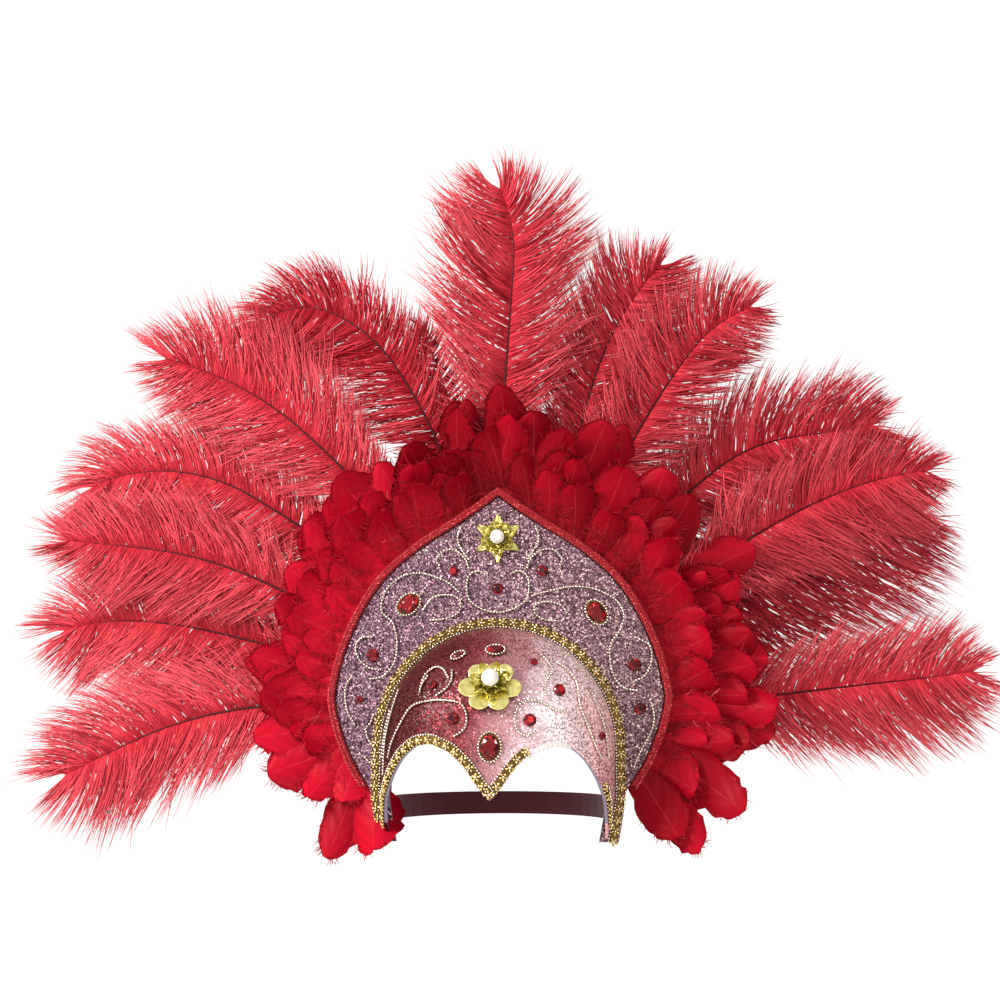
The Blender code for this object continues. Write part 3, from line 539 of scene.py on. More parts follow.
def round_the_shell(turn, z, height=0.0):
    """A point on the dome at a turn round its middle and a height above it, and the normal there."""
    rise = max(z - SHELL_SPRING, 0.0) / (SHELL_TOP - SHELL_SPRING)
    shrink = math.sqrt(max(1.0 - rise ** 2, 0.0))
    x = arch_half_width(z) * shrink * math.sin(turn)
    depth = SHELL_DEPTH * shrink * math.cos(turn)
    pull = depth / SHELL_DEPTH ** 2
    normal = Vector((x / arch_half_width(z) ** 2 + pull * sweep_slope(x), -pull,
                     rise / (SHELL_TOP - SHELL_SPRING) + pull * PANEL_LEAN)).normalized()
    seat = GAP + SHELL_WALL * sweep_slope(SHELL_HALF_WIDTH)
    return Vector((x, panel_y(x, z) - seat - depth, z)) + normal * height, normal


def on_shell(x, z, height=0.0):
    rise = max(z - SHELL_SPRING, 0.0) / (SHELL_TOP - SHELL_SPRING)
    width = arch_half_width(z) * math.sqrt(max(1.0 - rise ** 2, 1e-6))
    return round_the_shell(math.asin(max(-1.0, min(1.0, x / width))), z, height)


def lay(base, across, up, height=0.0):
    """A place in percent on the panel or the shell."""
    if base == "panel":
        return on_panel(across * PANEL_HALF_WIDTH / 100, up * PANEL_HEIGHT / 100, height)
    return on_shell(across * SHELL_HALF_WIDTH / 100, up * SHELL_TOP / 100, height)


def crown_half_outline(count):
    points = [(across * PANEL_HALF_WIDTH, up * PANEL_HEIGHT) for across, up in PANEL_OUTLINE]
    for share in (0.15, -0.4, -1.0):
        z = share * TAIL_DROP
        points.append((arch_half_width(z) + TRIM_WIDTH + PANEL_EDGE_MARGIN, z))
    return through(points, count)


def arch_half_path(offset, count):
    points = []
    for step in range(9):
        turn = math.pi / 2 * step / 8
        points.append(((SHELL_HALF_WIDTH + offset) * math.sin(turn),
                       SHELL_SPRING + (SHELL_TOP - SHELL_SPRING + offset) * math.cos(turn)))
    for share in (0.5, 0.0, -0.5, -1.0):
        z = SHELL_SPRING * share if share > 0 else TAIL_DROP * share
        points.append((arch_half_width(z) + offset, z))
    return through(points, count)


print("arch is", round(2 * length_of(arch_half_path(0.0, 60)) * 1000), "mm long")

# %% [markdown]
# A finished piece rides on the one body and hides the solids it stands for. These helpers do that,
# and turn point lists into closed, smooth meshes.

# %% Making and finishing a piece


def add_mesh(name, points, faces, materials, smooth=True):
    """An object from points and faces, merged where they meet, with its faces turned outwards."""
    mesh = bpy.data.meshes.new(name)
    mesh.from_pydata([tuple(point) for point in points], [], [tuple(face) for face in faces])
    model = bmesh.new()
    model.from_mesh(mesh)
    bmesh.ops.remove_doubles(model, verts=model.verts, dist=1e-6)
    bmesh.ops.dissolve_degenerate(model, edges=model.edges, dist=1e-7)
    bmesh.ops.recalc_face_normals(model, faces=model.faces)
    model.to_mesh(mesh)
    model.free()
    for material in materials:
        mesh.materials.append(material)
    if smooth:
        mesh.shade_smooth()
        mesh.set_sharp_from_angle(angle=math.radians(42))
    return add_object(name, mesh)


def join(name, items):
    """Several objects as one, with every material kept."""
    with bpy.context.temp_override(active_object=items[0], selected_editable_objects=items,
                                   selected_objects=items):
        bpy.ops.object.join()
    items[0].name = name
    items[0].data.name = name
    return items[0]


def finish_piece(item, slot, *solids):
    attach(item, "root")
    if solids:
        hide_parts(*solids)
    print(item.name, "has", sum(len(face.vertices) - 2 for face in item.data.polygons), "triangles")
    return item


def slab(front, back):
    """Points and faces of a closed wall between two sheets of rows; front faces come first."""
    points = [point for row in front for point in row] + [point for row in back for point in row]
    wide, tall = len(front[0]), len(front)
    offset = wide * tall
    faces = []
    for layer in (0, offset):
        for row in range(tall - 1):
            for column in range(wide - 1):
                corner = layer + row * wide + column
                faces.append((corner, corner + 1, corner + wide + 1, corner + wide))
    rim = list(range(wide)) + [row * wide + wide - 1 for row in range(1, tall)]
    rim += [(tall - 1) * wide + column for column in range(wide - 2, -1, -1)]
    rim += [row * wide for row in range(tall - 2, 0, -1)]
    for start, end in zip(rim, rim[1:] + rim[:1]):
        faces.append((start, end, end + offset, start + offset))
    return points, faces


def back_finish(item, facing):
    """Give the faces that look away from a direction the second material."""
    for face in item.data.polygons:
        outward = facing(face.center).normalized()
        face.material_index = 0 if face.normal.dot(outward) > 0.3 else 1


print("piece helpers ready")

# %% [markdown]
# The crown panel is a horseshoe of glitter cloth on felt: rows of points run from the arch to the
# outline. It could be a flat curve with a thickness, but rows also follow its sweep.

# %% Crown panel


def build_panel():
    stations, rings = 61, 14
    inner = both_sides(arch_half_path(-SHELL_LEDGE, stations))
    outer = both_sides(crown_half_outline(stations))
    front, back = [], []
    for ring in range(rings + 1):
        line = [start.lerp(end, ring / rings) for start, end in zip(inner, outer)]
        front.append([on_panel(point.x, point.y)[0] for point in line])
        back.append([on_panel(point.x, point.y, -PANEL_THICKNESS)[0] for point in line])
    item = add_mesh("crown_panel_cloth", *slab(front, back), [panel_cloth, back_felt])
    back_finish(item, lambda place: Vector((0.0, -1.0, 0.0)))
    return finish_piece(item, "panel_glitter", "crown_panel")


build_panel()

# %% [markdown]
# The forehead piece is the front of a cap. Meridians rise from the M-shaped brow edge to the top of
# the arch. Close rows keep the dome smooth where the solid has flat facets.

# %% Forehead piece


def brow_height(turn):
    """The brow edge's height, rounded a little between the table's rows."""
    degrees = abs(math.degrees(turn))
    near = [read_table(BROW_EDGE, max(0.0, degrees + shift)) for shift in (-2.0, -1.0, 0.0, 1.0, 2.0)]
    if degrees < 4:
        near = [read_table(BROW_EDGE, degrees)]
    return SHELL_TOP * sum(near) / len(near)


def build_shell():
    columns, rows = 96, 26
    rise = SHELL_TOP - SHELL_SPRING
    outside, inside = [], []
    for column in range(columns + 1):
        turn = math.radians(-90 + 180 * column / columns)
        low = (brow_height(turn) - SHELL_SPRING) / rise
        low = low if low < 0 else math.asin(low)
        heights = []
        for row in range(rows + 1):
            angle = low + (math.pi / 2 - 0.002 - low) * row / rows
            heights.append(SHELL_SPRING + rise * (angle if angle < 0 else math.sin(angle)))
        outside.append([round_the_shell(turn, z)[0] for z in heights])
        inside.append([round_the_shell(turn, z, -SHELL_WALL)[0] for z in heights])
    item = add_mesh("forehead_cloth", *slab(outside, inside), [shell_cloth, back_felt])
    middle = Vector((0.0, PANEL_FRONT, SHELL_SPRING))
    back_finish(item, lambda place: place - middle)
    return finish_piece(item, "rose_glitter", "forehead_shell")


build_shell()

# %% [markdown]
# Trims, beads and stitches repeat along a path or over a surface. One Geometry Nodes tree lays a
# motif on every site: a site is a bare point with the way it faces, the way it runs, and a size.

# %% The motif tree


def motif_tree():
    tree = bpy.data.node_groups.new("lay_motifs", "GeometryNodeTree")
    for label, kind in (("Sites", "NodeSocketGeometry"), ("Motif", "NodeSocketObject"),
                        ("Motif size", "NodeSocketFloat"), ("Finish", "NodeSocketMaterial")):
        tree.interface.new_socket(label, in_out="INPUT", socket_type=kind)
    tree.interface.new_socket("Geometry", in_out="OUTPUT", socket_type="NodeSocketGeometry")
    nodes, links = tree.nodes, tree.links
    entry = nodes.new("NodeGroupInput")
    motif = nodes.new("GeometryNodeObjectInfo")
    links.new(entry.outputs["Motif"], motif.inputs["Object"])
    turn = nodes.new("FunctionNodeAxesToRotation")
    turn.primary_axis, turn.secondary_axis = "Z", "X"
    for label, socket in (("facing", turn.inputs[0]), ("runs", turn.inputs[1])):
        reader = nodes.new("GeometryNodeInputNamedAttribute")
        reader.data_type = "FLOAT_VECTOR"
        reader.inputs["Name"].default_value = label
        links.new(reader.outputs["Attribute"], socket)
    size = nodes.new("GeometryNodeInputNamedAttribute")
    size.inputs["Name"].default_value = "size"
    scale = nodes.new("ShaderNodeMath")
    scale.operation = "MULTIPLY"
    links.new(size.outputs["Attribute"], scale.inputs[0])
    links.new(entry.outputs["Motif size"], scale.inputs[1])
    copies = nodes.new("GeometryNodeInstanceOnPoints")
    links.new(entry.outputs["Sites"], copies.inputs["Points"])
    links.new(motif.outputs["Geometry"], copies.inputs["Instance"])
    links.new(turn.outputs[0], copies.inputs["Rotation"])
    links.new(scale.outputs[0], copies.inputs["Scale"])
    real = nodes.new("GeometryNodeRealizeInstances")
    links.new(copies.outputs["Instances"], real.inputs[0])
    paint = nodes.new("GeometryNodeSetMaterial")
    links.new(real.outputs[0], paint.inputs["Geometry"])
    links.new(entry.outputs["Finish"], paint.inputs["Material"])
    leave = nodes.new("NodeGroupOutput")
    links.new(paint.outputs[0], leave.inputs[0])
    return tree


MOTIFS = motif_tree()


def lay_motifs(name, motif, sites, size, finish):
    """Copy a motif onto sites of (point, facing, running way, size), as one plain mesh."""
    mesh = bpy.data.meshes.new(name)
    mesh.from_pydata([tuple(site[0]) for site in sites], [], [])
    for label, column in (("facing", 1), ("runs", 2)):
        layer = mesh.attributes.new(label, "FLOAT_VECTOR", "POINT")
        layer.data.foreach_set("vector", [part for site in sites for part in site[column]])
    layer = mesh.attributes.new("size", "FLOAT", "POINT")
    layer.data.foreach_set("value", [site[3] for site in sites])
    carrier = add_object(name + "_sites", mesh)
    nodes = carrier.modifiers.new("motifs", "NODES")
    nodes.node_group = MOTIFS
    inputs = {item.name: item.identifier for item in MOTIFS.interface.items_tree if item.in_out == "INPUT"}
    nodes[inputs["Motif"]] = motif
    nodes[inputs["Motif size"]] = size
    nodes[inputs["Finish"]] = finish
    result = bpy.data.meshes.new_from_object(carrier.evaluated_get(bpy.context.evaluated_depsgraph_get()))
    bpy.data.objects.remove(carrier, do_unlink=True)
    result.name = name
    result.shade_smooth()
    return add_object(name, result)


print("motif tree:", len(MOTIFS.nodes), "nodes")

# %% [markdown]
# The motifs are patterns, hidden from the picture and removed at the end: a ball, which can be
# squashed to a stitch or a scallop, and a small cast flower.

# %% Motifs
PATTERNS = []


def keep_pattern(name, model):
    mesh = bpy.data.meshes.new(name)
    model.to_mesh(mesh)
    model.free()
    item = add_object(name, mesh)
    item.hide_render = True
    PATTERNS.append(item)
    return item


def ball_motif(name, segments, rings, squash=(1.0, 1.0, 1.0)):
    model = bmesh.new()
    bmesh.ops.create_uvsphere(model, u_segments=segments, v_segments=rings, radius=1.0)
    bmesh.ops.scale(model, vec=squash, verts=model.verts)
    return keep_pattern(name, model)


def flower_motif(name, petals, lift):
    """Round petals in a ring and a boss in the middle, one unit from the middle to the rim."""
    model = bmesh.new()
    for petal in range(petals):
        angle = math.tau * petal / petals
        place = Matrix.Translation((0.60 * math.cos(angle), 0.60 * math.sin(angle), lift))
        shape = Matrix.Rotation(angle, 4, "Z") @ Matrix.Diagonal((0.42, 0.27, 0.24, 1.0))
        bmesh.ops.create_uvsphere(model, u_segments=7, v_segments=4, radius=1.0, matrix=place @ shape)
    boss = Matrix.Translation((0.0, 0.0, lift + 0.16)) @ Matrix.Diagonal((0.30, 0.30, 0.28, 1.0))
    bmesh.ops.create_uvsphere(model, u_segments=8, v_segments=5, radius=1.0, matrix=boss)
    return keep_pattern(name, model)


bead = ball_motif("bead_pattern", 7, 5)
small_flower = flower_motif("trim_flower_pattern", 5, 0.15)
print("patterns:", [item.name for item in PATTERNS])

# %% [markdown]
# Most trims start from a path on a surface, kept as points and the normals beside them. The path can
# be moved aside, lifted, cut into sites an equal way apart, or thickened to a ribbon.

# %% Paths on a surface


def follow(points, normals, pitch, size=1.0, start=0.0):
    """Sites an equal way apart along a path, each facing as the surface does there."""
    run = [0.0]
    for first, second in zip(points, points[1:]):
        run.append(run[-1] + (second - first).length)
    count = max(2, round((run[-1] - start) / pitch) + 1)
    sites = []
    leg = 0
    for index in range(count):
        goal = min(start + (run[-1] - start) * index / (count - 1), run[-1])
        while leg < len(points) - 2 and run[leg + 1] < goal:
            leg += 1
        share = (goal - run[leg]) / max(run[leg + 1] - run[leg], 1e-9)
        way = (points[leg + 1] - points[leg]).normalized()
        facing = normals[leg].lerp(normals[leg + 1], share).normalized()
        sites.append((points[leg].lerp(points[leg + 1], share), facing, way, size))
    return sites


def moved(points, normals, aside, lift):
    """A path moved sideways along its surface and lifted off it."""
    shifted = []
    for index, (point, normal) in enumerate(zip(points, normals)):
        way = points[min(index + 1, len(points) - 1)] - points[max(index - 1, 0)]
        side = normal.cross(way).normalized()
        shifted.append(point + side * aside + normal * lift)
    return shifted


def ribbon(name, points, normals, width, height, material):
    """A low ribbon with sloping sides along a path on a surface."""
    rows_low = moved(points, normals, -width / 2, 0.0), moved(points, normals, width / 2, 0.0)
    rows_high = moved(points, normals, -width * 0.4, height), moved(points, normals, width * 0.4, height)
    rings = [rows_low[0], rows_high[0], rows_high[1], rows_low[1]]
    corners = [ring[index] for index in range(len(points)) for ring in rings]
    faces = [(3, 2, 1, 0), tuple(range(len(corners) - 4, len(corners)))]
    for step in range(len(points) - 1):
        for corner in range(4):
            following = (corner + 1) % 4
            faces.append((step * 4 + corner, step * 4 + following,
                          step * 4 + 4 + following, step * 4 + 4 + corner))
    return add_mesh(name, corners, faces, [material])


print("path helpers ready")

# %% [markdown]
# Gimp braid is two rows of slanting threads over a cord, which meet in a herringbone. A core tube
# gives it body, and each thread is a long squashed ball laid at a slant along one side.

# %% Red braid round the panel
STITCH_PITCH = 0.0025
STITCH_SLANT = math.radians(42)


def offset_outwards(path, distance):
    shifted = []
    for index, point in enumerate(path):
        before = point - path[index - 1] if index > 0 else path[1] - point
        after = path[index + 1] - point if index < len(path) - 1 else before
        first = Vector((-before.y, before.x)).normalized()
        second = Vector((-after.y, after.x)).normalized()
        mitre = first + second
        shifted.append(point + mitre * (2.0 * distance / mitre.length_squared))
    return shifted


def tube_rings(points, radii, sides):
    """Points and faces of a closed round tube."""
    corners, faces = [], []
    upright = Vector((0.0, -1.0, 0.0))
    for index, (point, radius) in enumerate(zip(points, radii)):
        way = (points[min(index + 1, len(points) - 1)] - points[max(index - 1, 0)]).normalized()
        side = way.cross(upright).normalized()
        rise = side.cross(way)
        for corner in range(sides):
            angle = math.tau * corner / sides
            corners.append(point + (side * math.cos(angle) + rise * math.sin(angle)) * radius)
    for ring in range(len(points) - 1):
        for corner in range(sides):
            following = (corner + 1) % sides
            low = ring * sides
            faces.append((low + corner, low + following, low + sides + following, low + sides + corner))
    faces += [tuple(range(sides)), tuple(range(len(corners) - sides, len(corners)))]
    return corners, faces


def build_braid():
    flat = [point for point in offset_outwards(both_sides(crown_half_outline(101)), BRAID_RADIUS + GAP)
            if point.y > SHELL_SPRING / 5]
    points, normals = zip(*(on_panel(point.x, point.y) for point in flat))
    core = add_mesh("braid_core", *tube_rings(points, [BRAID_RADIUS * 0.74] * len(points), 12), [tape_cloth])
    stitch = ball_motif("stitch_pattern", 6, 4, (1.0, 0.34, 0.36))
    rows = [core]
    for face, lean in ((1.0, 1.0), (1.0, -1.0), (-1.0, 1.0), (-1.0, -1.0)):
        aside = moved(points, normals, lean * BRAID_RADIUS * 0.42, face * BRAID_RADIUS * 0.62)
        sites = []
        for point, facing, way, size in follow(aside, normals, STITCH_PITCH):
            side = facing.cross(way)
            slant = way * math.cos(STITCH_SLANT) + side * math.sin(STITCH_SLANT) * lean
            tilt = (facing * face + side * lean * 0.55).normalized()
            slant = (slant - tilt * slant.dot(tilt)).normalized()
            sites.append((point, tilt, slant, size))
        rows.append(lay_motifs("braid_row", stitch, sites, BRAID_RADIUS * 0.78, braid_thread))
    return finish_piece(join("red_gimp_braid", rows), "red_braid", "outer_braid")


build_braid()

# %% [markdown]
# The gold trim is a near-black net ribbon with little cast flowers on it: the net's dark is painted
# shade in the gaps between the flowers. Each flower has a boss of paler metal, a painted highlight on
# its middle; a ball sits between each pair, and a row of bright balls runs along the inner side. Right
# of the middle, the brow edge has lost a stretch of it, and lace shows there.

# %% Gold trims
FLOWER_PITCH = 0.0082
EDGE_BEAD = 0.00095
BROW_TRIM_END = 82
BROW_TRIM_GAP = (18, 64)
LACE_END = 40


def gold_trim(name, points, normals, inner_side):
    """One stretch of trim, as a list of loose meshes."""
    # The net ribbon is near-black: painted shade showing in the gaps between the flowers.
    base = ribbon(name + "_ribbon", points, normals, TRIM_WIDTH * 0.84, 0.0008, shade_net_gold)
    middle = moved(points, normals, -inner_side * TRIM_WIDTH * 0.06, 0.0008)
    raised = moved(points, normals, -inner_side * TRIM_WIDTH * 0.06, 0.0022)
    between = [site for index, site in enumerate(follow(middle, normals, FLOWER_PITCH / 2)) if index % 2]
    inner = moved(points, normals, inner_side * TRIM_WIDTH * 0.46, 0.0009)
    outer = moved(points, normals, -inner_side * TRIM_WIDTH * 0.50, 0.0007)
    return [base,
            lay_motifs(name + "_flowers", small_flower, follow(middle, normals, FLOWER_PITCH), 0.0036, gold),
            # Each flower's boss is paler metal than the flower: a painted highlight on its middle.
            lay_motifs(name + "_bosses", bead, follow(raised, normals, FLOWER_PITCH), 0.0011, chain_silver),
            lay_motifs(name + "_balls", bead, between, 0.0012, gold),
            lay_motifs(name + "_inner", bead, follow(inner, normals, EDGE_BEAD * 2.4),
                       EDGE_BEAD, chain_silver),
            lay_motifs(name + "_outer", bead, follow(outer, normals, EDGE_BEAD * 3.4),
                       EDGE_BEAD * 0.8, gold)]


def build_arch_trim():
    path = both_sides(arch_half_path(TRIM_WIDTH / 2 + GAP, 61))
    points, normals = zip(*(on_panel(point.x, point.y, GAP) for point in path))
    parts = gold_trim("arch_stretch", points, normals, -1.0)
    return finish_piece(join("arch_flower_trim", parts), "gold", "arch_trim")


def brow_path(start, end):
    """Points and normals along the brow edge, between two turns in degrees."""
    steps = max(6, round((end - start) * 0.75))
    turns = [math.radians(start + (end - start) * step / steps) for step in range(steps + 1)]
    return zip(*(round_the_shell(turn, brow_height(turn), GAP) for turn in turns))


def build_brow_trim():
    parts = []
    for start, end in ((-BROW_TRIM_END, BROW_TRIM_GAP[0]), (BROW_TRIM_GAP[1], BROW_TRIM_END)):
        points, normals = brow_path(start, end)
        parts += gold_trim("brow_stretch", moved(points, normals, TRIM_WIDTH / 2, 0.0), normals, 1.0)
    points, normals = brow_path(BROW_TRIM_GAP[0], LACE_END)
    edge = moved(points, normals, 0.0004, -0.0006)
    scallop = ball_motif("scallop_pattern", 8, 5, (1.0, 0.8, 0.30))
    knot = moved(points, normals, -0.0012, -0.0002)
    parts += [ribbon("lace_band", edge, normals, 0.0022, 0.0006, lace_thread),
              lay_motifs("lace_scallops", scallop, follow(knot, normals, 0.0036), 0.0019, lace_thread),
              lay_motifs("lace_knots", bead, follow(knot, normals, 0.0018), 0.0006, lace_thread)]
    return finish_piece(join("brow_flower_trim", parts), "gold", "brow_trim")


build_arch_trim()
build_brow_trim()

# %% [markdown]
# Bead chains are glued along hand-laid scrolls. Each bead is a ball on a low thread. The routes are
# the solids' own, and a few shorter strands fill the places that the long ones leave bare.

# %% Bead chains
BEAD_RADIUS = 0.00112
BEAD_PITCH = 0.00248
CHAIN_ROUTES = {
    "heart_chain": ("panel", [(-8, 74), (-13, 75), (-18, 73), (-19, 69), (-17, 65), (-9, 62), (0, 61),
                              (9, 62), (17, 65), (19, 69), (18, 73), (13, 75), (8, 74)]),
    "curl_chain_left": ("panel", [(-18, 76), (-20, 79), (-26, 82), (-33, 82), (-38, 79), (-36, 77)]),
    "curl_chain_right": ("panel", [(18, 76), (20, 79), (27, 82), (34, 82), (39, 79), (38, 77)]),
    "paisley_chain_left": ("panel", [(-24, 68), (-30, 71), (-38, 73), (-48, 74.5), (-59, 73.5), (-69, 69),
                                     (-72, 62), (-65, 58), (-62, 52), (-63, 45), (-70, 40), (-78, 39)]),
    "paisley_chain_right": ("panel", [(21, 66.5), (27, 67.5), (34, 68.5), (43, 69.5), (53, 69.5), (63, 68),
                                      (72, 65), (76.5, 60.5), (74, 55), (68.5, 50.5), (68, 45), (70.5, 39.5),
                                      (76, 36), (84, 35)]),
    "leaf_chain_left": ("panel", [(-46, 62), (-40, 66), (-30, 67), (-23, 65), (-24, 61), (-32, 59),
                                  (-41, 58.5)]),
    "leaf_chain_right": ("panel", [(42, 61), (38, 63.5), (30, 64.5), (23, 63.5), (23, 60.5), (29, 58.5),
                                   (37, 58)]),
    "front_scroll_left": ("shell", [(-88, 24), (-84, 33), (-75, 45), (-66, 53), (-50, 56), (-36, 56),
                                    (-24, 54), (-19, 47), (-21, 40), (-29, 36)]),
    "front_paisley_left": ("shell", [(-59, 66), (-56, 71), (-49, 75), (-41, 74), (-36, 69)]),
    "front_scroll_right": ("shell", [(88, 24), (83, 32), (77, 43), (71, 54), (69, 65), (62, 73), (50, 79)]),
    "front_curl_right": ("shell", [(64, 50), (54, 50), (44, 54), (34, 56), (24, 54), (20, 47), (22, 39),
                                   (30, 36)]),
}
SHORT_STRANDS = [
    ("panel", [(-18, 79), (-22, 82), (-25, 86), (-23, 90)]),
    ("panel", [(18, 79), (22, 82), (25, 86), (23, 90)]),
    ("panel", [(-76, 27), (-78, 24), (-81, 22), (-78, 18), (-75, 16), (-75, 13), (-77, 11), (-81, 13),
               (-84, 14)]),
    ("panel", [(92, 32), (94, 28), (94, 24), (91, 20), (86, 15), (82, 10)]),
    ("panel", [(-73, 42), (-80, 43), (-86, 46), (-88, 50), (-84, 53), (-78, 53)]),
    ("panel", [(82, 38), (89, 40), (93, 45), (92, 50), (86, 52)]),
    ("panel", [(-88, 24), (-93, 29), (-94, 36), (-90, 40)]),
    ("shell", [(40, 82), (46, 77), (49, 73), (44, 66), (44, 59)]),
    ("shell", [(-54, 70), (-59, 65), (-60, 61)]),
    ("shell", [(-33, 73), (-33, 68), (-37, 63), (-45, 59)]),
    ("shell", [(-81, 62), (-85, 53), (-89, 42), (-92, 30), (-93, 14)]),
    ("shell", [(-88, 50), (-92, 38), (-95, 24)]),
    ("shell", [(80, 62), (85, 52), (91, 40), (94, 24)]),
    ("shell", [(31, 37), (38, 39)]),
]


def bead_sites(base, route):
    length = length_of([Vector(point) for point in route])
    flat = through(route, max(12, round(length)))
    points, normals = zip(*(lay(base, point.x, point.y, GAP + BEAD_RADIUS) for point in flat))
    return follow(points, normals, BEAD_PITCH)


def thread_under(name, sites):
    """The thread that the beads are strung on."""
    points = [site[0] for site in sites]
    return add_mesh(name, *tube_rings(points, [BEAD_RADIUS * 0.35] * len(points), 5), [chain_silver])


def bead_chain(name, sites, *solids):
    beads = lay_motifs(name, bead, sites, BEAD_RADIUS, chain_silver)
    return finish_piece(join(name, [thread_under(name + "_thread", sites), beads]), "chain_metal", *solids)


for name, (base, route) in CHAIN_ROUTES.items():
    bead_chain("beads_" + name, bead_sites(base, route), name)
for index, (base, route) in enumerate(SHORT_STRANDS):
    bead_chain(f"beads_short_{index + 1}", bead_sites(base, route))

# %% [markdown]
# Stones are cut rounds and ovals: a table, a ring of kites, and a ring of girdle facets, all flat.
# Each facet gets its own random number, which the red finish turns into a painted reflection, from near black
# to bright red. Ovals sit in a ring of balls.

# %% Cut stones
STONE_RADIUS = 0.0085
STONE_HEIGHT = 0.0042
RING_BALL = 0.00105
STONES = [
    # name, base, across and up (percent), size (share), length over width, turn (degrees)
    ("stone_01", "panel", -27, 75, 0.46, 1.0, 0),
    ("stone_02", "panel", 27, 75, 0.50, 1.0, 0),
    ("stone_03", "panel", 0, 69, 0.50, 1.0, 0),
    ("stone_04", "panel", -55, 64, 0.78, 1.35, 35),
    ("stone_05", "panel", 60, 61, 0.78, 1.35, 125),
    ("stone_06", "panel", -77, 47, 0.60, 1.0, 0),
    ("stone_07", "panel", 83, 43.5, 0.60, 1.0, 0),
    ("stone_08", "panel", -85, 32, 0.34, 1.0, 0),
    ("stone_09", "panel", 86, 29, 0.56, 1.0, 0),
    ("stone_10", "shell", 2, 85, 0.52, 1.4, 0),
    ("stone_11", "shell", -29, 82, 0.38, 1.5, 30),
    ("stone_12", "shell", 34, 78, 0.36, 1.0, 0),
    ("stone_13", "shell", -49, 65, 0.40, 1.0, 0),
    ("stone_14", "shell", 55, 62, 0.58, 1.0, 0),
    ("stone_15", "shell", -31, 46, 0.54, 1.0, 0),
    ("stone_16", "shell", 32, 45, 0.58, 1.0, 0),
    ("stone_17", "shell", 0, 30, 0.85, 1.3, 90),
    ("stone_18", "shell", 89, 36, 0.36, 1.0, 0),
]


def frame_at(base, across, up, height, turn):
    """The place and turn of a hard piece on the panel or the dome."""
    point, normal = lay(base, across, up, height)
    side = Vector((0.0, 0.0, 1.0)).cross(normal).normalized()
    rise = normal.cross(side)
    basis = Matrix((side, rise, normal)).transposed().to_4x4()
    return Matrix.Translation(point) @ basis @ Matrix.Rotation(turn, 4, "Z")


def stacked_rings(radius, stretch, sides, levels, base, height):
    """Points of oval rings over each other. A level gives share of the radius, height and turn."""
    points = []
    for share, level, offset in levels:
        for side in range(sides):
            angle = math.tau * (side + offset) / sides
            points.append(Vector((radius * stretch * share * math.cos(angle),
                                  radius * share * math.sin(angle), base + height * level)))
    return points


def cut_gem(name, radius, stretch, base_level, height, seed):
    """A faceted gem over a flat back; odd rings are turned half a facet, so facets are kites."""
    sides = 12
    levels = [(1.0, 0.0, 0.0), (1.0, 0.30, 0.0), (0.86, 0.66, 0.5), (0.60, 0.92, 0.0), (0.50, 1.0, 0.5)]
    points = stacked_rings(radius, stretch, sides, levels, base_level, height)
    faces = [tuple(range(sides)), tuple(range(len(points) - sides, len(points)))]
    for ring in range(len(levels) - 1):
        shifted = levels[ring + 1][2] != levels[ring][2]
        for side in range(sides):
            a, b = ring * sides + side, ring * sides + (side + 1) % sides
            c, d = a + sides, b + sides
            if not shifted:
                faces.append((a, b, d, c))
            elif levels[ring + 1][2] > 0:
                faces += [(a, b, c), (b, d, c)]
            else:
                faces += [(a, d, c), (a, b, d)]
    item = add_mesh(name, points, faces, [ruby], smooth=False)
    rng = random.Random(seed)
    # A random number for each facet: the brightness of its painted reflection.
    depth = item.data.attributes.new("facet", "FLOAT", "FACE")
    depth.data.foreach_set("value", [rng.random() for _ in item.data.polygons])
    return item


def ring_sites(radius, stretch, ball, level):
    """Balls an equal way apart round an oval."""
    around = [Vector((radius * stretch * math.cos(math.tau * step / 90),
                      radius * math.sin(math.tau * step / 90), level)) for step in range(91)]
    count = max(8, round(length_of(around) / (ball * 2.15)))
    sites = follow(around, [Vector((0, 0, 1))] * 91, length_of(around) / count)
    return sites[:-1]


def cup(name, radius, stretch, height, material):
    """A low dished plate: the cup under a stone, or a plate of a flower."""
    sides = 28
    levels = [(1.0, 0.0, 0.0), (1.0, 0.7, 0.0), (0.92, 1.0, 0.0), (0.86, 1.0, 0.0)]
    points = stacked_rings(radius, stretch, sides, levels, 0.0, height)
    faces = [tuple(range(sides)), tuple(range(3 * sides, 4 * sides))]
    for ring in range(3):
        for side in range(sides):
            a, b = ring * sides + side, ring * sides + (side + 1) % sides
            faces.append((a, b, b + sides, a + sides))
    return add_mesh(name, points, faces, [material])


def place_item(item, matrix):
    item.data.transform(matrix)
    return item


for index, (name, base, across, up, size, stretch, turn) in enumerate(STONES):
    radius = STONE_RADIUS * size
    spot = frame_at(base, across, up, GAP, math.radians(turn))
    height = STONE_HEIGHT * (0.4 + 0.6 * size) * 0.95
    parts = [place_item(cut_gem(name + "_gem", radius * 0.98, stretch, 0.0003, height, 40 + index), spot)]
    if stretch > 1.0:
        balls = lay_motifs(name + "_balls", bead, ring_sites(radius * 1.15, stretch, RING_BALL, RING_BALL),
                           RING_BALL, chain_silver)
        # The cup is near-black: painted shade round the stone.
        setting = cup(name + "_cup", radius * 1.12, stretch, 0.0009, shade_net_gold)
        parts += [place_item(balls, spot), place_item(setting, spot)]
    finish_piece(join("set_" + name, parts), "ruby", name)

# %% [markdown]
# Both brooches are layered metal flowers with a pearl. A petal is a cupped leaf of metal: a small
# grid bent up at its edge and rim, given a wall. Petals, leaves and wires repeat round the middle.

# %% Flowers and pearls
TOP_FLOWER_RADIUS = 0.021
BROW_FLOWER_RADIUS = 0.025
TOP_PEARL_RADIUS = 0.0055
BROW_PEARL_RADIUS = 0.0065
PETAL_WALL = 0.0005


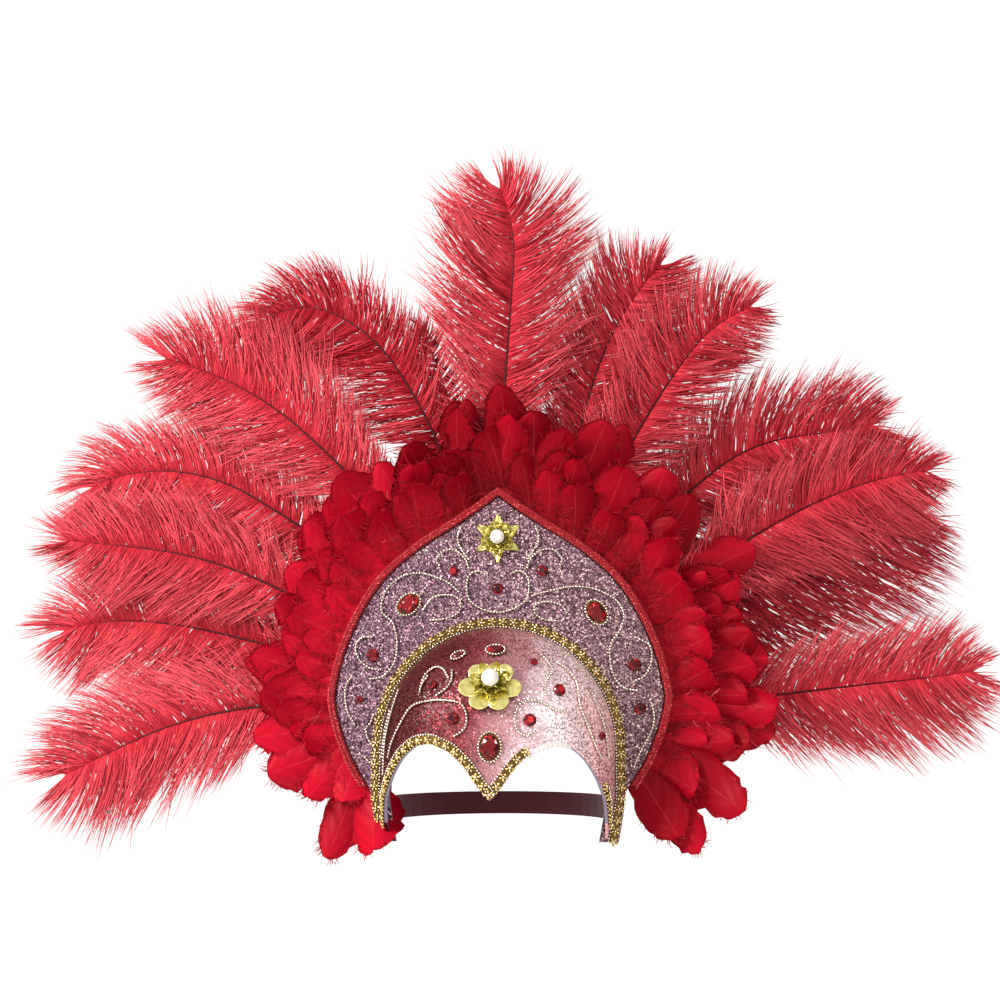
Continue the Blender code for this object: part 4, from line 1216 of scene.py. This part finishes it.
def petal_leaf(name, length, width, shape, cup_depth, rise, material, ribs):
    """A petal along +X from the middle; shape gives its half width along it."""
    rows, columns = 9, 9
    front, back = [], []
    for row in range(rows):
        v = row / (rows - 1)
        half = width * read_table(shape, v)
        line, under = [], []
        for column in range(columns):
            u = 2.0 * column / (columns - 1) - 1.0
            height = rise * v ** 1.5 + cup_depth * u * u * min(1.0, v * 2.0) + ribs * math.cos(u * 9.0) * v
            place = (length * (v - 0.10 * u * u * v), half * u)
            line.append(Vector((*place, height)))
            under.append(Vector((*place, height - PETAL_WALL)))
        front.append(line)
        back.append(under)
    return add_mesh(name, *slab(front, back), [material])


def petal_ring(long, name, count, start, tilt, level, length, width, shape, *form):
    """Copies of a petal in a ring, tilted up from the surface; sizes are shares of the flower's radius."""
    parts = []
    for petal in range(count):
        item = petal_leaf(f"{name}_{petal}", long * length, long * width, shape, *form)
        turn = Matrix.Rotation(start + math.tau * petal / count, 4, "Z") @ Matrix.Rotation(-tilt, 4, "Y")
        parts.append(place_item(item, Matrix.Translation((0.0, 0.0, level)) @ turn))
    return parts


ROUND_PETAL = [(0.0, 0.30), (0.2, 0.62), (0.45, 0.95), (0.65, 1.0), (0.82, 0.82), (0.93, 0.52), (1.0, 0.16)]
POINTED_LEAF = [(0.0, 0.25), (0.2, 0.75), (0.4, 1.0), (0.65, 0.82), (0.85, 0.42), (1.0, 0.05)]
TOP_LAYERS = [
    # name, petals, first turn, tilt, level, length, width, shape, cup, rise, finish, ribs
    ("top_leaf", 6, math.pi / 2, 0.06, 0.0006, 0.97, 0.25, POINTED_LEAF, -0.0012, 0.001, leaf_gold, 0.0004),
    ("top_petal", 8, 0.2, 0.20, 0.0014, 0.70, 0.25, ROUND_PETAL, 0.0022, 0.0016, petal_gold, 0.0006),
    ("top_inner", 7, 0.40, 0.52, 0.0018, 0.48, 0.17, ROUND_PETAL, 0.0016, 0.0005, leaf_gold, 0.0004),
]
BROW_LAYERS = [
    ("brow_filigree", 7, 0.31, 0.30, 0.0020, 0.66, 0.22, ROUND_PETAL, 0.0026, 0.0012, petal_gold, 0.0008),
    ("brow_inner", 7, 0.0, 0.62, 0.0026, 0.42, 0.13, ROUND_PETAL, 0.0014, 0.0, leaf_gold, 0.0005),
]
DISCS = [
    # turn (degrees), reach of the middle, radius
    (-17, 0.64, 0.30), (-68, 0.66, 0.31), (-118, 0.66, 0.31), (-165, 0.66, 0.31), (142, 0.52, 0.27),
    (40, 0.50, 0.27),
]
PLATE_HEIGHT = 0.0009
FLOWER_BALL = 0.0006


def pearl_ball(name, radius, level, spot):
    model = bmesh.new()
    bmesh.ops.create_uvsphere(model, u_segments=32, v_segments=20, radius=radius)
    mesh = bpy.data.meshes.new(name)
    model.to_mesh(mesh)
    model.free()
    mesh.materials.append(pearl_coat)
    mesh.shade_smooth()
    return place_item(add_object(name, mesh), spot @ Matrix.Translation((0.0, 0.0, level + radius)))


def flower_discs(long):
    """Flat round discs under the brow flower, each on its own turn."""
    parts = []
    for index, (angle, reach, size) in enumerate(DISCS):
        coin = cup(f"brow_disc_{index}", long * size, 1.0, PLATE_HEIGHT, petal_gold)
        lift = Matrix.Translation((long * reach, 0.0, 0.0006 + 0.0004 * (index % 2)))
        turn = Matrix.Rotation(math.radians(angle), 4, "Z") @ Matrix.Rotation(-0.10, 4, "Y")
        parts.append(place_item(coin, turn @ lift))
    return parts


def build_flower(title, spot, parts, long, layers, plate, pearl, pearl_level, ball_share, ball_level):
    """Petal layers over a plate, then a ring of balls and a pearl."""
    for layer in layers:
        parts += petal_ring(long, *layer)
    parts.append(cup(title + "_plate", long * plate, 1.0, PLATE_HEIGHT, gold))
    sites = ring_sites(pearl * ball_share, 1.0, FLOWER_BALL, ball_level)
    parts.append(lay_motifs(title + "_balls", bead, sites, FLOWER_BALL, gold))
    for item in parts:
        place_item(item, spot)
    finish_piece(join(title + "_gold_flower", parts), "gold", title + "_flower")
    finish_piece(pearl_ball(title + "_round_pearl", pearl, pearl_level + GAP, spot), "pearl", title + "_pearl")


build_flower("top", frame_at("panel", 0, 86, GAP, 0.0), [], TOP_FLOWER_RADIUS, TOP_LAYERS, 0.30,
             TOP_PEARL_RADIUS, 0.0032, 0.92, 0.0036)
build_flower("brow", frame_at("shell", 0, 65.5, GAP, 0.0), flower_discs(BROW_FLOWER_RADIUS),
             BROW_FLOWER_RADIUS, BROW_LAYERS, 0.32, BROW_PEARL_RADIUS, 0.0036, 0.95, 0.0040)

# %% [markdown]
# All feathers spring from behind the crown's outline. A share runs from 0 at its lower left to 1 at
# its lower right. Depth is measured back from the panel's front face, so feathers follow its lean.

# %% Where feathers spring from
RING_TAPE_INNER = 0.015
RING_TAPE_OUTER = 0.002
PLACES = through(both_sides(crown_half_outline(41)), 161)


def outline_at(share):
    run = share * (len(PLACES) - 1)
    index = min(int(run), len(PLACES) - 2)
    return PLACES[index].lerp(PLACES[index + 1], run - index)


def outwards(point):
    return (point - Vector((0.0, 0.26 * PANEL_HEIGHT))).normalized()


def behind(x, z, depth):
    """Points behind the panel, from arrays of x, z and depth."""
    reach = np.minimum(np.abs(x), PANEL_HALF_WIDTH)
    beyond = (np.abs(x) - reach) * abs(sweep_slope(PANEL_HALF_WIDTH))
    y = PANEL_FRONT + PANEL_SWEEP * (reach / PANEL_HALF_WIDTH) ** 2 + beyond + PANEL_LEAN * z + depth
    return np.stack(np.broadcast_arrays(x, y, z), axis=-1)


def unit(vectors):
    return vectors / np.maximum(np.linalg.norm(vectors, axis=-1, keepdims=True), 1e-12)


print("outline", round(length_of(PLACES) * 1000), "mm long")

# %% [markdown]
# One barb is a slim strand with three sides that closes to a point. Many strands are made at once:
# their paths are an array of rows of points, and each carries the numbers that its finish reads.

# %% Strands
STRAND_TAPER = np.array([(0.0, 1.0), (0.4, 0.96), (0.7, 0.84), (0.85, 0.66), (1.0, 0.4)])
FLUFF_TAPER = np.array([(0.0, 1.0), (0.3, 0.95), (0.6, 0.62), (0.8, 0.40), (1.0, 0.25)])


def strand_block(paths, half_width, twist, tint, slot=0, shape=STRAND_TAPER):
    """Closed three-sided strands, each along its own row of points."""
    count, rows = paths.shape[:2]
    taper = np.interp(np.linspace(0.0, 1.0, rows)[:-1], *shape.T)
    way = unit(np.gradient(paths, axis=1))
    front = np.array([0.0, -1.0, 0.0])
    side = unit(np.cross(front, way))
    rise = unit(np.cross(way, side))
    turn = twist[:, None, None]
    side, rise = side * np.cos(turn) + rise * np.sin(turn), rise * np.cos(turn) - side * np.sin(turn)
    wide = (half_width[:, None] * taper[None, :])[:, :, None]
    body = paths[:, :-1]
    rings = np.stack([body - side[:, :-1] * wide, body + side[:, :-1] * wide,
                      body + rise[:, :-1] * wide * 0.8], axis=2)
    points = np.concatenate([rings.reshape(count, -1, 3), paths[:, -1:]], axis=1)
    size = points.shape[1]
    single = [(0, 2, 1)]
    for row in range(rows - 2):
        for corner in range(3):
            following = (corner + 1) % 3
            single.append((row * 3 + corner, row * 3 + following,
                           row * 3 + 3 + following, row * 3 + 3 + corner))
    last = (rows - 2) * 3
    single += [(last + corner, last + (corner + 1) % 3, size - 1) for corner in range(3)]
    faces = [tuple(index + start for index in face)
             for start in range(0, count * size, size) for face in single]
    along = np.append(np.repeat(np.linspace(0.0, 1.0, rows)[:-1], 3), 1.0)
    return {"points": points.reshape(-1, 3), "faces": faces, "slot": slot,
            "along": np.tile(along, count), "tint": np.repeat(tint, size)}


def weld_blocks(name, blocks, materials):
    """One object from blocks of points and faces, with the feather numbers kept as attributes."""
    points = np.concatenate([block["points"] for block in blocks])
    faces, slots = [], []
    start = 0
    for block in blocks:
        faces += [tuple(index + start for index in face) for face in block["faces"]]
        slots += [block["slot"]] * len(block["faces"])
        start += len(block["points"])
    mesh = bpy.data.meshes.new(name)
    mesh.from_pydata(points.tolist(), [], faces)
    for label in ("along", "across", "tint"):
        values = np.concatenate([block.get(label, np.zeros(len(block["points"]))) for block in blocks])
        mesh.attributes.new(label, "FLOAT", "POINT").data.foreach_set("value", values.astype(np.float32))
    for material in materials:
        mesh.materials.append(material)
    mesh.polygons.foreach_set("material_index", slots)
    mesh.shade_smooth()
    return add_object(name, mesh)


print("strands taper to", STRAND_TAPER[-1][1], "before they close")

# %% [markdown]
# An ostrich plume: barbs leave both sides of the quill at a slant and bend towards its tip. Barbs
# cling in small clumps, so each clump shares its slant, length and dye, and its barbs' ends close up.
# Between the clumps lies finer, paler fluff, which fills the vane and leaves its rim open.

# %% Ostrich plumes
PLUME_LENGTH = 0.282
PLUME_HALF_WIDTH = 0.055
QUILL_RADIUS = 0.0017
PLUME_LAYER_STEP = 0.012
PLUME_ROOT_INSET = 0.017
QUILL_SEAT = 0.1
VANE_START = 0.22
QUILL_DEPTH = 0.0085
BARBS, CLUMP, BARB_ROWS = 1000, 5, 6
FLUFF, FLUFF_CLUMP, FLUFF_ROWS = 950, 2, 5
PLUMES = [
    # name, outline share, length, layer, upper and lower width, droop, tip, dye, headings
    ("plume_left_1", 0.175, 0.90, 0, 1.05, 0.94, 0.12, 1.30, 0.15, (182, 182, 193, 204, 206)),
    ("plume_left_2", 0.221, 0.93, 1, 0.95, 0.95, 0.05, 1.30, 0.15, (166, 166, 167, 176, 196)),
    ("plume_left_3", 0.263, 0.99, 0, 0.85, 0.80, 0.06, 1.40, 0.05, (152, 152, 161, 173, 172)),
    ("plume_left_4", 0.335, 1.06, 1, 0.90, 1.05, 0.22, 1.40, 0.12, (146, 146, 149, 174, 203)),
    ("plume_left_5", 0.401, 1.04, 0, 1.05, 0.85, 0.05, 1.25, 0.05, (135, 135, 137, 151, 164)),
    ("plume_left_6", 0.465, 1.07, 1, 0.75, 0.95, 0.22, 1.25, -0.30, (113, 114, 123, 154, 228)),
    ("plume_top", 0.500, 0.95, 0, 1.15, 1.05, 0.05, 0.90, 0.0, (88, 88, 86, 86, 114)),
    ("plume_right_1", 0.575, 0.90, 1, 0.85, 0.90, 0.05, 0.90, -0.10, (75, 75, 75, 63, 47)),
    ("plume_right_2", 0.600, 0.92, 0, 0.90, 0.74, 0.12, 0.90, -0.05, (60, 60, 60, 54, 22)),
    ("plume_right_3", 0.646, 0.96, 1, 0.95, 0.90, 0.12, 1.00, -0.10, (44, 44, 39, 9, 10)),
    ("plume_right_4", 0.711, 0.98, 0, 0.85, 0.90, 0.16, 0.85, 0.0, (33, 33, 31, 22, 6)),
    ("plume_right_5", 0.775, 0.93, 2, 0.80, 1.15, 0.20, 0.75, -0.15, (31, 31, 31, 29, 13)),
    ("plume_right_6", 0.838, 0.93, 0, 0.84, 0.95, 0.10, 0.85, 0.08, (7, 7, 7, 6, 9)),
    ("crest_tuft", 0.483, 0.62, 2, 0.42, 0.42, 0.05, 1.00, -0.1, (108, 108, 108, 110, 112)),
]
VANE_PROFILE = np.array([(0.0, 0.10), (VANE_START, 0.40), (0.34, 0.80), (0.5, 1.0), (0.7, 1.0),
                         (0.88, 0.86), (1.0, 0.62)])


def quill_line(share, length, layer, headings, count=61):
    """The quill's flat line, its ways and its depths, as arrays."""
    base = outline_at(share)
    spot = base - outwards(base) * PLUME_ROOT_INSET
    run = np.linspace(0.0, 1.0, count)
    angle = np.radians(np.interp(run, np.linspace(0.0, 1.0, len(headings)), headings))
    ways = np.stack([np.cos(angle), np.sin(angle)], axis=1)
    steps = ways[:-1] * PLUME_LENGTH * length / (count - 1)
    line = np.vstack([np.zeros(2), np.cumsum(steps, axis=0)]) + np.array([spot.x, spot.y])
    rise = np.clip((run - QUILL_SEAT) / (VANE_START - QUILL_SEAT), 0.0, 1.0)
    return run, line, ways, QUILL_DEPTH + layer * PLUME_LAYER_STEP * rise


def at_run(run, values, places):
    return np.stack([np.interp(places, run, column) for column in values.T], axis=-1)


print(len(PLUMES), "plumes, each with up to", BARBS + FLUFF, "strands")

# %% [markdown]
# A barb's path is bent in the plume's plane first, then its clump pulls it in, and last it waves and
# gets a depth. All barbs of a plume are worked out together, as arrays.

# %% Paths of barbs


def barb_paths(rng, quill, widths, droop, tip, dye, count, clump_size, rows, loose):
    """Paths and tints of many barbs of one plume. Loose ones stray further from their neighbours."""
    run, line, ways, depths = quill
    clumps = max(2, count // clump_size)
    order = (np.arange(clumps) + rng.random(clumps)) / clumps
    shared_run = VANE_START * 0.5 + (1.0 - VANE_START * 0.5) * order
    shared_side = np.where(np.arange(clumps) % 2 == 0, 1.0, -1.0)
    swell, sway = rng.uniform(0.0, math.tau, 2)
    shared_size = rng.normal(1.0, 0.10, clumps) * (1.0 + 0.10 * np.sin(order * 19.0 + swell + shared_side))
    shared_turn = rng.normal(0.0, 0.04 + 0.08 * loose, clumps)
    shared_turn = shared_turn + 0.10 * np.sin(order * 15.0 + sway + 2.0 * shared_side)
    shared_lean = rng.normal(0.0, 1.0, clumps)
    shared_tint = rng.random(clumps)
    clump = np.minimum(np.arange(count) // clump_size, clumps - 1)
    t = np.linspace(0.0, 1.0, rows)[None, :]
    leans_left = ways[0, 0] < 0

    def flat_paths(places, side, size, turn):
        """Barbs in the plume's own plane, from their places on the quill."""
        base, way = at_run(run, line, places), unit(at_run(run, ways, places))
        left = np.stack([-way[:, 1], way[:, 0]], axis=1)
        upper = (side > 0) != leans_left
        width = np.where(upper, widths[0], widths[1])
        reach = PLUME_HALF_WIDTH * width * np.interp(places, *VANE_PROFILE.T) * size
        fan = np.clip((places - 0.86) / 0.14, 0.0, 1.0)
        lateral = reach[:, None] * (1.16 * t - 0.19 * t ** 2) * (1.0 - 0.62 * fan[:, None])
        forward = reach[:, None] * (0.58 * t + 0.26 * t ** 2) * (1.0 + (tip - 0.9) * fan[:, None])
        lateral, forward = (lateral * np.cos(turn)[:, None] - forward * np.sin(turn)[:, None],
                            forward * np.cos(turn)[:, None] + lateral * np.sin(turn)[:, None])
        flat = base[:, None] + left[:, None] * (side[:, None] * lateral)[..., None]
        flat = flat + way[:, None] * forward[..., None]
        hang = (droop + 0.06) * np.where(upper, 0.6, 1.0) * (1.5 - places)
        flat[..., 1] -= (reach * hang)[:, None] * t ** 2
        return flat

    own = np.clip(shared_run[clump] + rng.normal(0.0, 0.005, count), 0.02, 1.0)
    side = shared_side[clump]
    size = shared_size[clump] * rng.uniform(0.78, 1.22, count)
    size = np.minimum(size * np.where(rng.random(count) < 0.06, 1.2, 1.0), 1.30)
    turn = shared_turn[clump] + rng.normal(0.0, 0.03 + 0.05 * loose, count)
    flat = flat_paths(own, side, size, turn)
    centre = flat_paths(shared_run[clump], side, shared_size[clump], shared_turn[clump])
    pull = rng.uniform(0.1, 0.6, count)[:, None, None] * (1.0 - loose) * (t ** 1.3)[..., None]
    flat = flat * (1.0 - pull) + centre * pull
    phase = rng.uniform(0.0, math.tau, (count, 1))
    swing = rng.uniform(0.0004, 0.0014, (count, 1)) * (1.0 + 1.6 * loose)
    wave = (np.sin(phase + t * rng.uniform(3.0, 7.0, (count, 1))) - np.sin(phase)) * t * swing
    flat = flat + wave[..., None] * np.array([0.5, 0.9])
    spread = shared_lean[clump][:, None] * 0.0055 * t ** 1.3 + rng.normal(0.0, 0.0016, (count, 1)) * t
    depth = np.interp(own, run, depths)[:, None] + spread + wave * 0.8 + loose * 0.0015 * t
    tint = np.clip(shared_tint[clump] * 0.7 + rng.random(count) * 0.2 + loose * 0.2 + dye, 0.0, 1.0)
    return behind(flat[..., 0], flat[..., 1], depth), tint


print("barbs start", VANE_START * 0.5, "of the way up the quill")

# %% [markdown]
# Every plume gets its own seed, so that it can change without the others. The fluff is thicker and
# tapers sooner than the barbs.

# %% Plumes


def quill_block(quill, slot):
    run, line, ways, depths = quill
    points = [Vector(point) for point in behind(line[::3, 0], line[::3, 1], depths[::3])]
    radii = [QUILL_RADIUS * (0.80 - 0.52 * share) for share in run[::3]]
    corners, faces = tube_rings(points, radii, 8)
    return {"points": np.array([tuple(corner) for corner in corners]), "faces": faces, "slot": slot}


def build_plume(index, name, share, length, layer, upper, lower, droop, tip, dye, headings):
    rng = np.random.default_rng(500 + index)
    quill = quill_line(share, length, layer, headings)
    blocks = []
    kinds = ((BARBS, CLUMP, BARB_ROWS, 0.00030, 0.00056, 0.0, STRAND_TAPER),
             (FLUFF, FLUFF_CLUMP, FLUFF_ROWS, 0.00046, 0.00082, 1.0, FLUFF_TAPER))
    for amount, clump, rows, thin, thick, loose, shape in kinds:
        count = int(amount * length * (0.4 if upper < 0.5 else 1.0))
        paths, tint = barb_paths(rng, quill, (upper, lower), droop, tip, dye, count, clump, rows, loose)
        half = rng.uniform(thin, thick, count)
        blocks.append(strand_block(paths, half, rng.normal(0.0, 0.6, count), tint, 0, shape))
    item = weld_blocks("ostrich_" + name, blocks + [quill_block(quill, 1)], [plume_barb, quill_horn])
    return finish_piece(item, "plume", name)


for index, row in enumerate(PLUMES):
    build_plume(index, *row)

# %% [markdown]
# The ring round the crown is made of broad, cupped feathers in three layers, the shortest in front.
# Each one is a thin curled sheet with a soft fringe of strands, and the lowest ones hang down.

# %% Broad feather ring
RING_REACH = 0.088
RING_GROUPS = 6
RING_FIRST, RING_LAST = 0.085, 0.915
RING_LAYERS = [
    # feathers, length (share of the reach), half width, root depth, least and most curl (radians)
    (34, 1.03, 0.0215, 0.0056, 0.30, 1.00),
    (32, 0.80, 0.0205, 0.0050, 0.45, 1.30),
    (28, 0.54, 0.0180, 0.0045, 0.40, 1.30),
]
RING_REACH_TABLE = [(0.085, 1.0), (0.11, 0.72), (0.14, 0.82), (0.30, 0.90), (0.50, 1.02), (0.65, 1.08),
                    (0.80, 1.04), (0.88, 0.97), (0.90, 0.92), (0.915, 0.78)]
RING_HANG = [(0.085, 74), (0.10, 52), (0.115, 27), (0.14, 0), (0.87, 0), (0.89, -16), (0.905, -36),
             (0.915, -48)]
# Painted light: tints by place round the ring, pale on the left and dark at the top and right, as if lit from
# the left.
RING_PAINTED_LIGHT = np.array([(0.085, 0.95), (0.33, 0.85), (0.45, 0.20), (0.60, 0.15), (0.80, 0.25), (0.915, 0.40)])
FEATHER_ROWS, FEATHER_COLUMNS = 18, 9
FEATHER_WALL = 0.0004
FRINGE, DOWN, LOOSE_ROWS = 46, 9, 4


def sheet_frame(rng, share, length, half_width, root_depth, curl):
    """A broad feather's rows of centres, sides and fronts, from its root to its curled tip."""
    base = outline_at(share)
    way = outwards(base)
    fan = math.atan2(way.y, way.x) + math.radians(read_table(RING_HANG, share)) + rng.normal(0.0, 0.13)
    root = np.array([base.x - way.x * 0.008, base.y - way.y * 0.008])
    v = 1.0 - (1.0 - np.linspace(0.0, 1.0, FEATHER_ROWS)) ** 1.35
    heading = fan + rng.normal(0.0, 0.22) * v
    lift = curl * np.clip((v - 0.15) / 0.85, 0.0, 1.0) ** 1.5
    step = np.diff(v, prepend=0.0) * length
    ways = np.stack([np.cos(heading), np.sin(heading)], axis=1)
    flat = root + np.cumsum(ways * (np.cos(lift) * step)[:, None], axis=0)
    depth = root_depth - np.cumsum(np.sin(lift) * step)
    side = np.stack([-np.sin(heading), np.zeros_like(v), np.cos(heading)], axis=1)
    ahead = np.stack([ways[:, 0] * np.cos(lift), -np.sin(lift), ways[:, 1] * np.cos(lift)], axis=1)
    front = unit(np.cross(ahead, side))
    front = np.where(front[:, 1:2] > 0, -front, front)
    roll = rng.normal(0.10, 0.16) * np.clip(v * 1.6, 0.0, 1.0)
    turned = side * np.cos(roll)[:, None] + front * np.sin(roll)[:, None]
    front = front * np.cos(roll)[:, None] - side * np.sin(roll)[:, None]
    return v, behind(flat[:, 0], flat[:, 1], depth), turned, ahead, front


def feather_outline(v):
    """Half width along the feather: a narrow foot, a broad body and a round end."""
    foot = 0.34 + 0.66 * np.clip(v / 0.5, 0.0, 1.0) ** 0.8
    end = np.clip(1.0 - (np.clip(v - 0.5, 0.0, 1.0) / 0.502) ** 2.2, 0.0, 1.0) ** 0.62
    return foot * end


def broad_feather(rng, share, length, half_width, root_depth, curl):
    """The sheet, its shaft and its fringe, as blocks."""
    v, centre, side, ahead, front = sheet_frame(rng, share, length, half_width, root_depth, curl)
    u = np.linspace(-1.0, 1.0, FEATHER_COLUMNS)
    edge = np.stack([np.abs(u)] * FEATHER_ROWS)
    ragged = 1.0 + rng.normal(-0.03, 0.075, edge.shape) * (edge > 0.9)
    wide = (feather_outline(v) * half_width)[:, None] * u[None, :] * ragged
    cup = rng.uniform(0.12, 0.60)
    ripple = np.sin(v[:, None] * rng.uniform(4.0, 8.0) + u[None, :] * 2.0 + rng.uniform(0, 6)) * 0.0012
    sheet = centre[:, None] + side[:, None] * wide[..., None]
    sheet = sheet + ahead[:, None] * (np.abs(wide) * 0.28 * (1.0 - v[:, None]))[..., None]
    sheet = sheet + front[:, None] * (ripple * edge - np.abs(wide) * edge * cup)[..., None]
    back = sheet - front[:, None] * FEATHER_WALL
    corners, faces = slab([list(row) for row in sheet], [list(row) for row in back])
    # Each feather's tint is random round the painted light that the table gives for its place.
    tint = float(np.clip(rng.normal(np.interp(share, *RING_PAINTED_LIGHT.T), 0.22), 0.0, 1.0))
    grid = (FEATHER_ROWS, FEATHER_COLUMNS)
    body = {"points": np.array(corners), "faces": faces, "slot": 0,
            "along": np.tile(np.broadcast_to(v[:, None], grid).ravel(), 2),
            "across": np.tile(np.abs(np.broadcast_to(u[None, :], grid)).ravel(), 2),
            "tint": np.full(2 * FEATHER_ROWS * FEATHER_COLUMNS, tint)}
    fringe = fringe_block(rng, sheet, side, ahead, front, tint)
    return [body, fringe, down_block(rng, share, root_depth, tint)]


print("ring feathers:", sum(layer[0] for layer in RING_LAYERS))

# %% [markdown]
# Loose strands soften the feathers: a fringe leaves both edges, and down curls round each foot. A
# tape behind the panel carries the roots.

# %% Fringe, down and tape


def fringe_block(rng, sheet, side, ahead, front, tint):
    """Loose barb ends along both edges of a broad feather."""
    rows = rng.uniform(0.18, 1.0, FRINGE) ** 0.8 * (FEATHER_ROWS - 1)
    low = np.minimum(rows.astype(int), FEATHER_ROWS - 2)
    share = (rows - low)[:, None]
    edge = np.where(rng.random(FRINGE) < 0.5, 1, FEATHER_COLUMNS - 2)
    start = sheet[low, edge] * (1 - share) + sheet[low + 1, edge] * share
    sign = np.where(edge == 1, -1.0, 1.0)[:, None]
    way = unit(side[low] * sign + ahead[low] * rng.uniform(1.0, 2.6, (FRINGE, 1)))
    t = np.linspace(0.0, 1.0, LOOSE_ROWS)[None, :, None]
    size = rng.uniform(0.003, 0.009, (FRINGE, 1, 1))
    curl = front[low][:, None] * rng.normal(0.1, 0.35, (FRINGE, 1, 1)) * t ** 2 * size
    stray = rng.normal(0.0, 0.25, (FRINGE, 1, 3)) * t ** 2 * size
    block = strand_block(start[:, None] + way[:, None] * t * size + curl + stray,
                         rng.uniform(0.00018, 0.00034, FRINGE), rng.normal(0.0, 0.3, FRINGE),
                         np.full(FRINGE, tint))
    block["along"] = 0.6 + 0.4 * block["along"]
    return block


def down_block(rng, share, root_depth, tint):
    """Curly down round the feather's foot, just outside the braid."""
    places = [outline_at(min(max(share + rng.normal(0.0, 0.010), 0.0), 1.0)) for _ in range(DOWN)]
    ways = np.array([tuple(outwards(place)) for place in places])
    start = np.array([tuple(place) for place in places]) + ways * rng.uniform(0.008, 0.016, (DOWN, 1))
    angle = rng.normal(0.0, 0.8, DOWN)
    turned = np.stack([ways[:, 0] * np.cos(angle) - ways[:, 1] * np.sin(angle),
                       ways[:, 0] * np.sin(angle) + ways[:, 1] * np.cos(angle)], axis=1)
    t = np.linspace(0.0, 1.0, LOOSE_ROWS)[None, :]
    size = rng.uniform(0.010, 0.024, (DOWN, 1))
    bend = rng.normal(0.0, 1.1, (DOWN, 1)) * t ** 2 * size * 0.6
    x = start[:, :1] + turned[:, :1] * t * size - turned[:, 1:] * bend
    z = start[:, 1:] + turned[:, 1:] * t * size + turned[:, :1] * bend
    depth = root_depth + 0.002 - rng.uniform(0.004, 0.016, (DOWN, 1)) * t ** 0.8
    return strand_block(behind(x, z, depth), rng.uniform(0.00018, 0.0003, DOWN),
                        rng.normal(0.0, 0.8, DOWN), np.full(DOWN, tint))


def tape_block(start, end, slot):
    """The backing tape that the feathers' roots and quills lie against."""
    shares = np.linspace(start + 0.0006, end - 0.0006, 13)
    fronts, backs = [], []
    for inset in (RING_TAPE_INNER, RING_TAPE_OUTER):
        flat = [outline_at(share) - outwards(outline_at(share)) * inset for share in shares]
        x = np.array([point.x for point in flat])
        z = np.array([point.y for point in flat])
        fronts.append(list(behind(x, z, 0.0058)))
        backs.append(list(behind(x, z, 0.0064)))
    corners, faces = slab(fronts, backs)
    return {"points": np.array(corners), "faces": faces, "slot": slot}


print(FRINGE, "fringe strands and", DOWN, "down strands a feather")

# %% [markdown]
# The ring is laid feather by feather, layer by layer, and shared out to six groups along the tape.

# %% The ring


def build_ring():
    rng = np.random.default_rng(77)
    groups = [[] for _ in range(RING_GROUPS)]
    for count, length, half_width, root_depth, low_curl, high_curl in RING_LAYERS:
        for index in range(count):
            share = RING_FIRST + (RING_LAST - RING_FIRST) * (index + 0.5 + rng.uniform(-0.25, 0.25)) / count
            reach = RING_REACH * read_table(RING_REACH_TABLE, share) * length * rng.uniform(0.88, 1.10)
            blocks = broad_feather(rng, share, reach + 0.008, half_width * rng.uniform(0.72, 1.18),
                                   root_depth, rng.uniform(low_curl, high_curl))
            place = (share - RING_FIRST) / (RING_LAST - RING_FIRST)
            groups[min(int(place * RING_GROUPS), RING_GROUPS - 1)] += blocks
    for group, blocks in enumerate(groups):
        start = RING_FIRST + (RING_LAST - RING_FIRST) * group / RING_GROUPS
        end = RING_FIRST + (RING_LAST - RING_FIRST) * (group + 1) / RING_GROUPS
        item = weld_blocks(f"broad_feathers_{group + 1}", blocks + [tape_block(start, end, 1)],
                           [broad_barb, tape_cloth])
        finish_piece(item, "broad_feather", f"feather_ring_{group + 1}")


build_ring()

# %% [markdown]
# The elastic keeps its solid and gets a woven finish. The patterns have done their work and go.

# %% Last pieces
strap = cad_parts["head_strap"]
strap.data.materials.clear()
strap.data.materials.append(elastic_weave)
for pattern in PATTERNS:
    bpy.data.objects.remove(pattern, do_unlink=True)
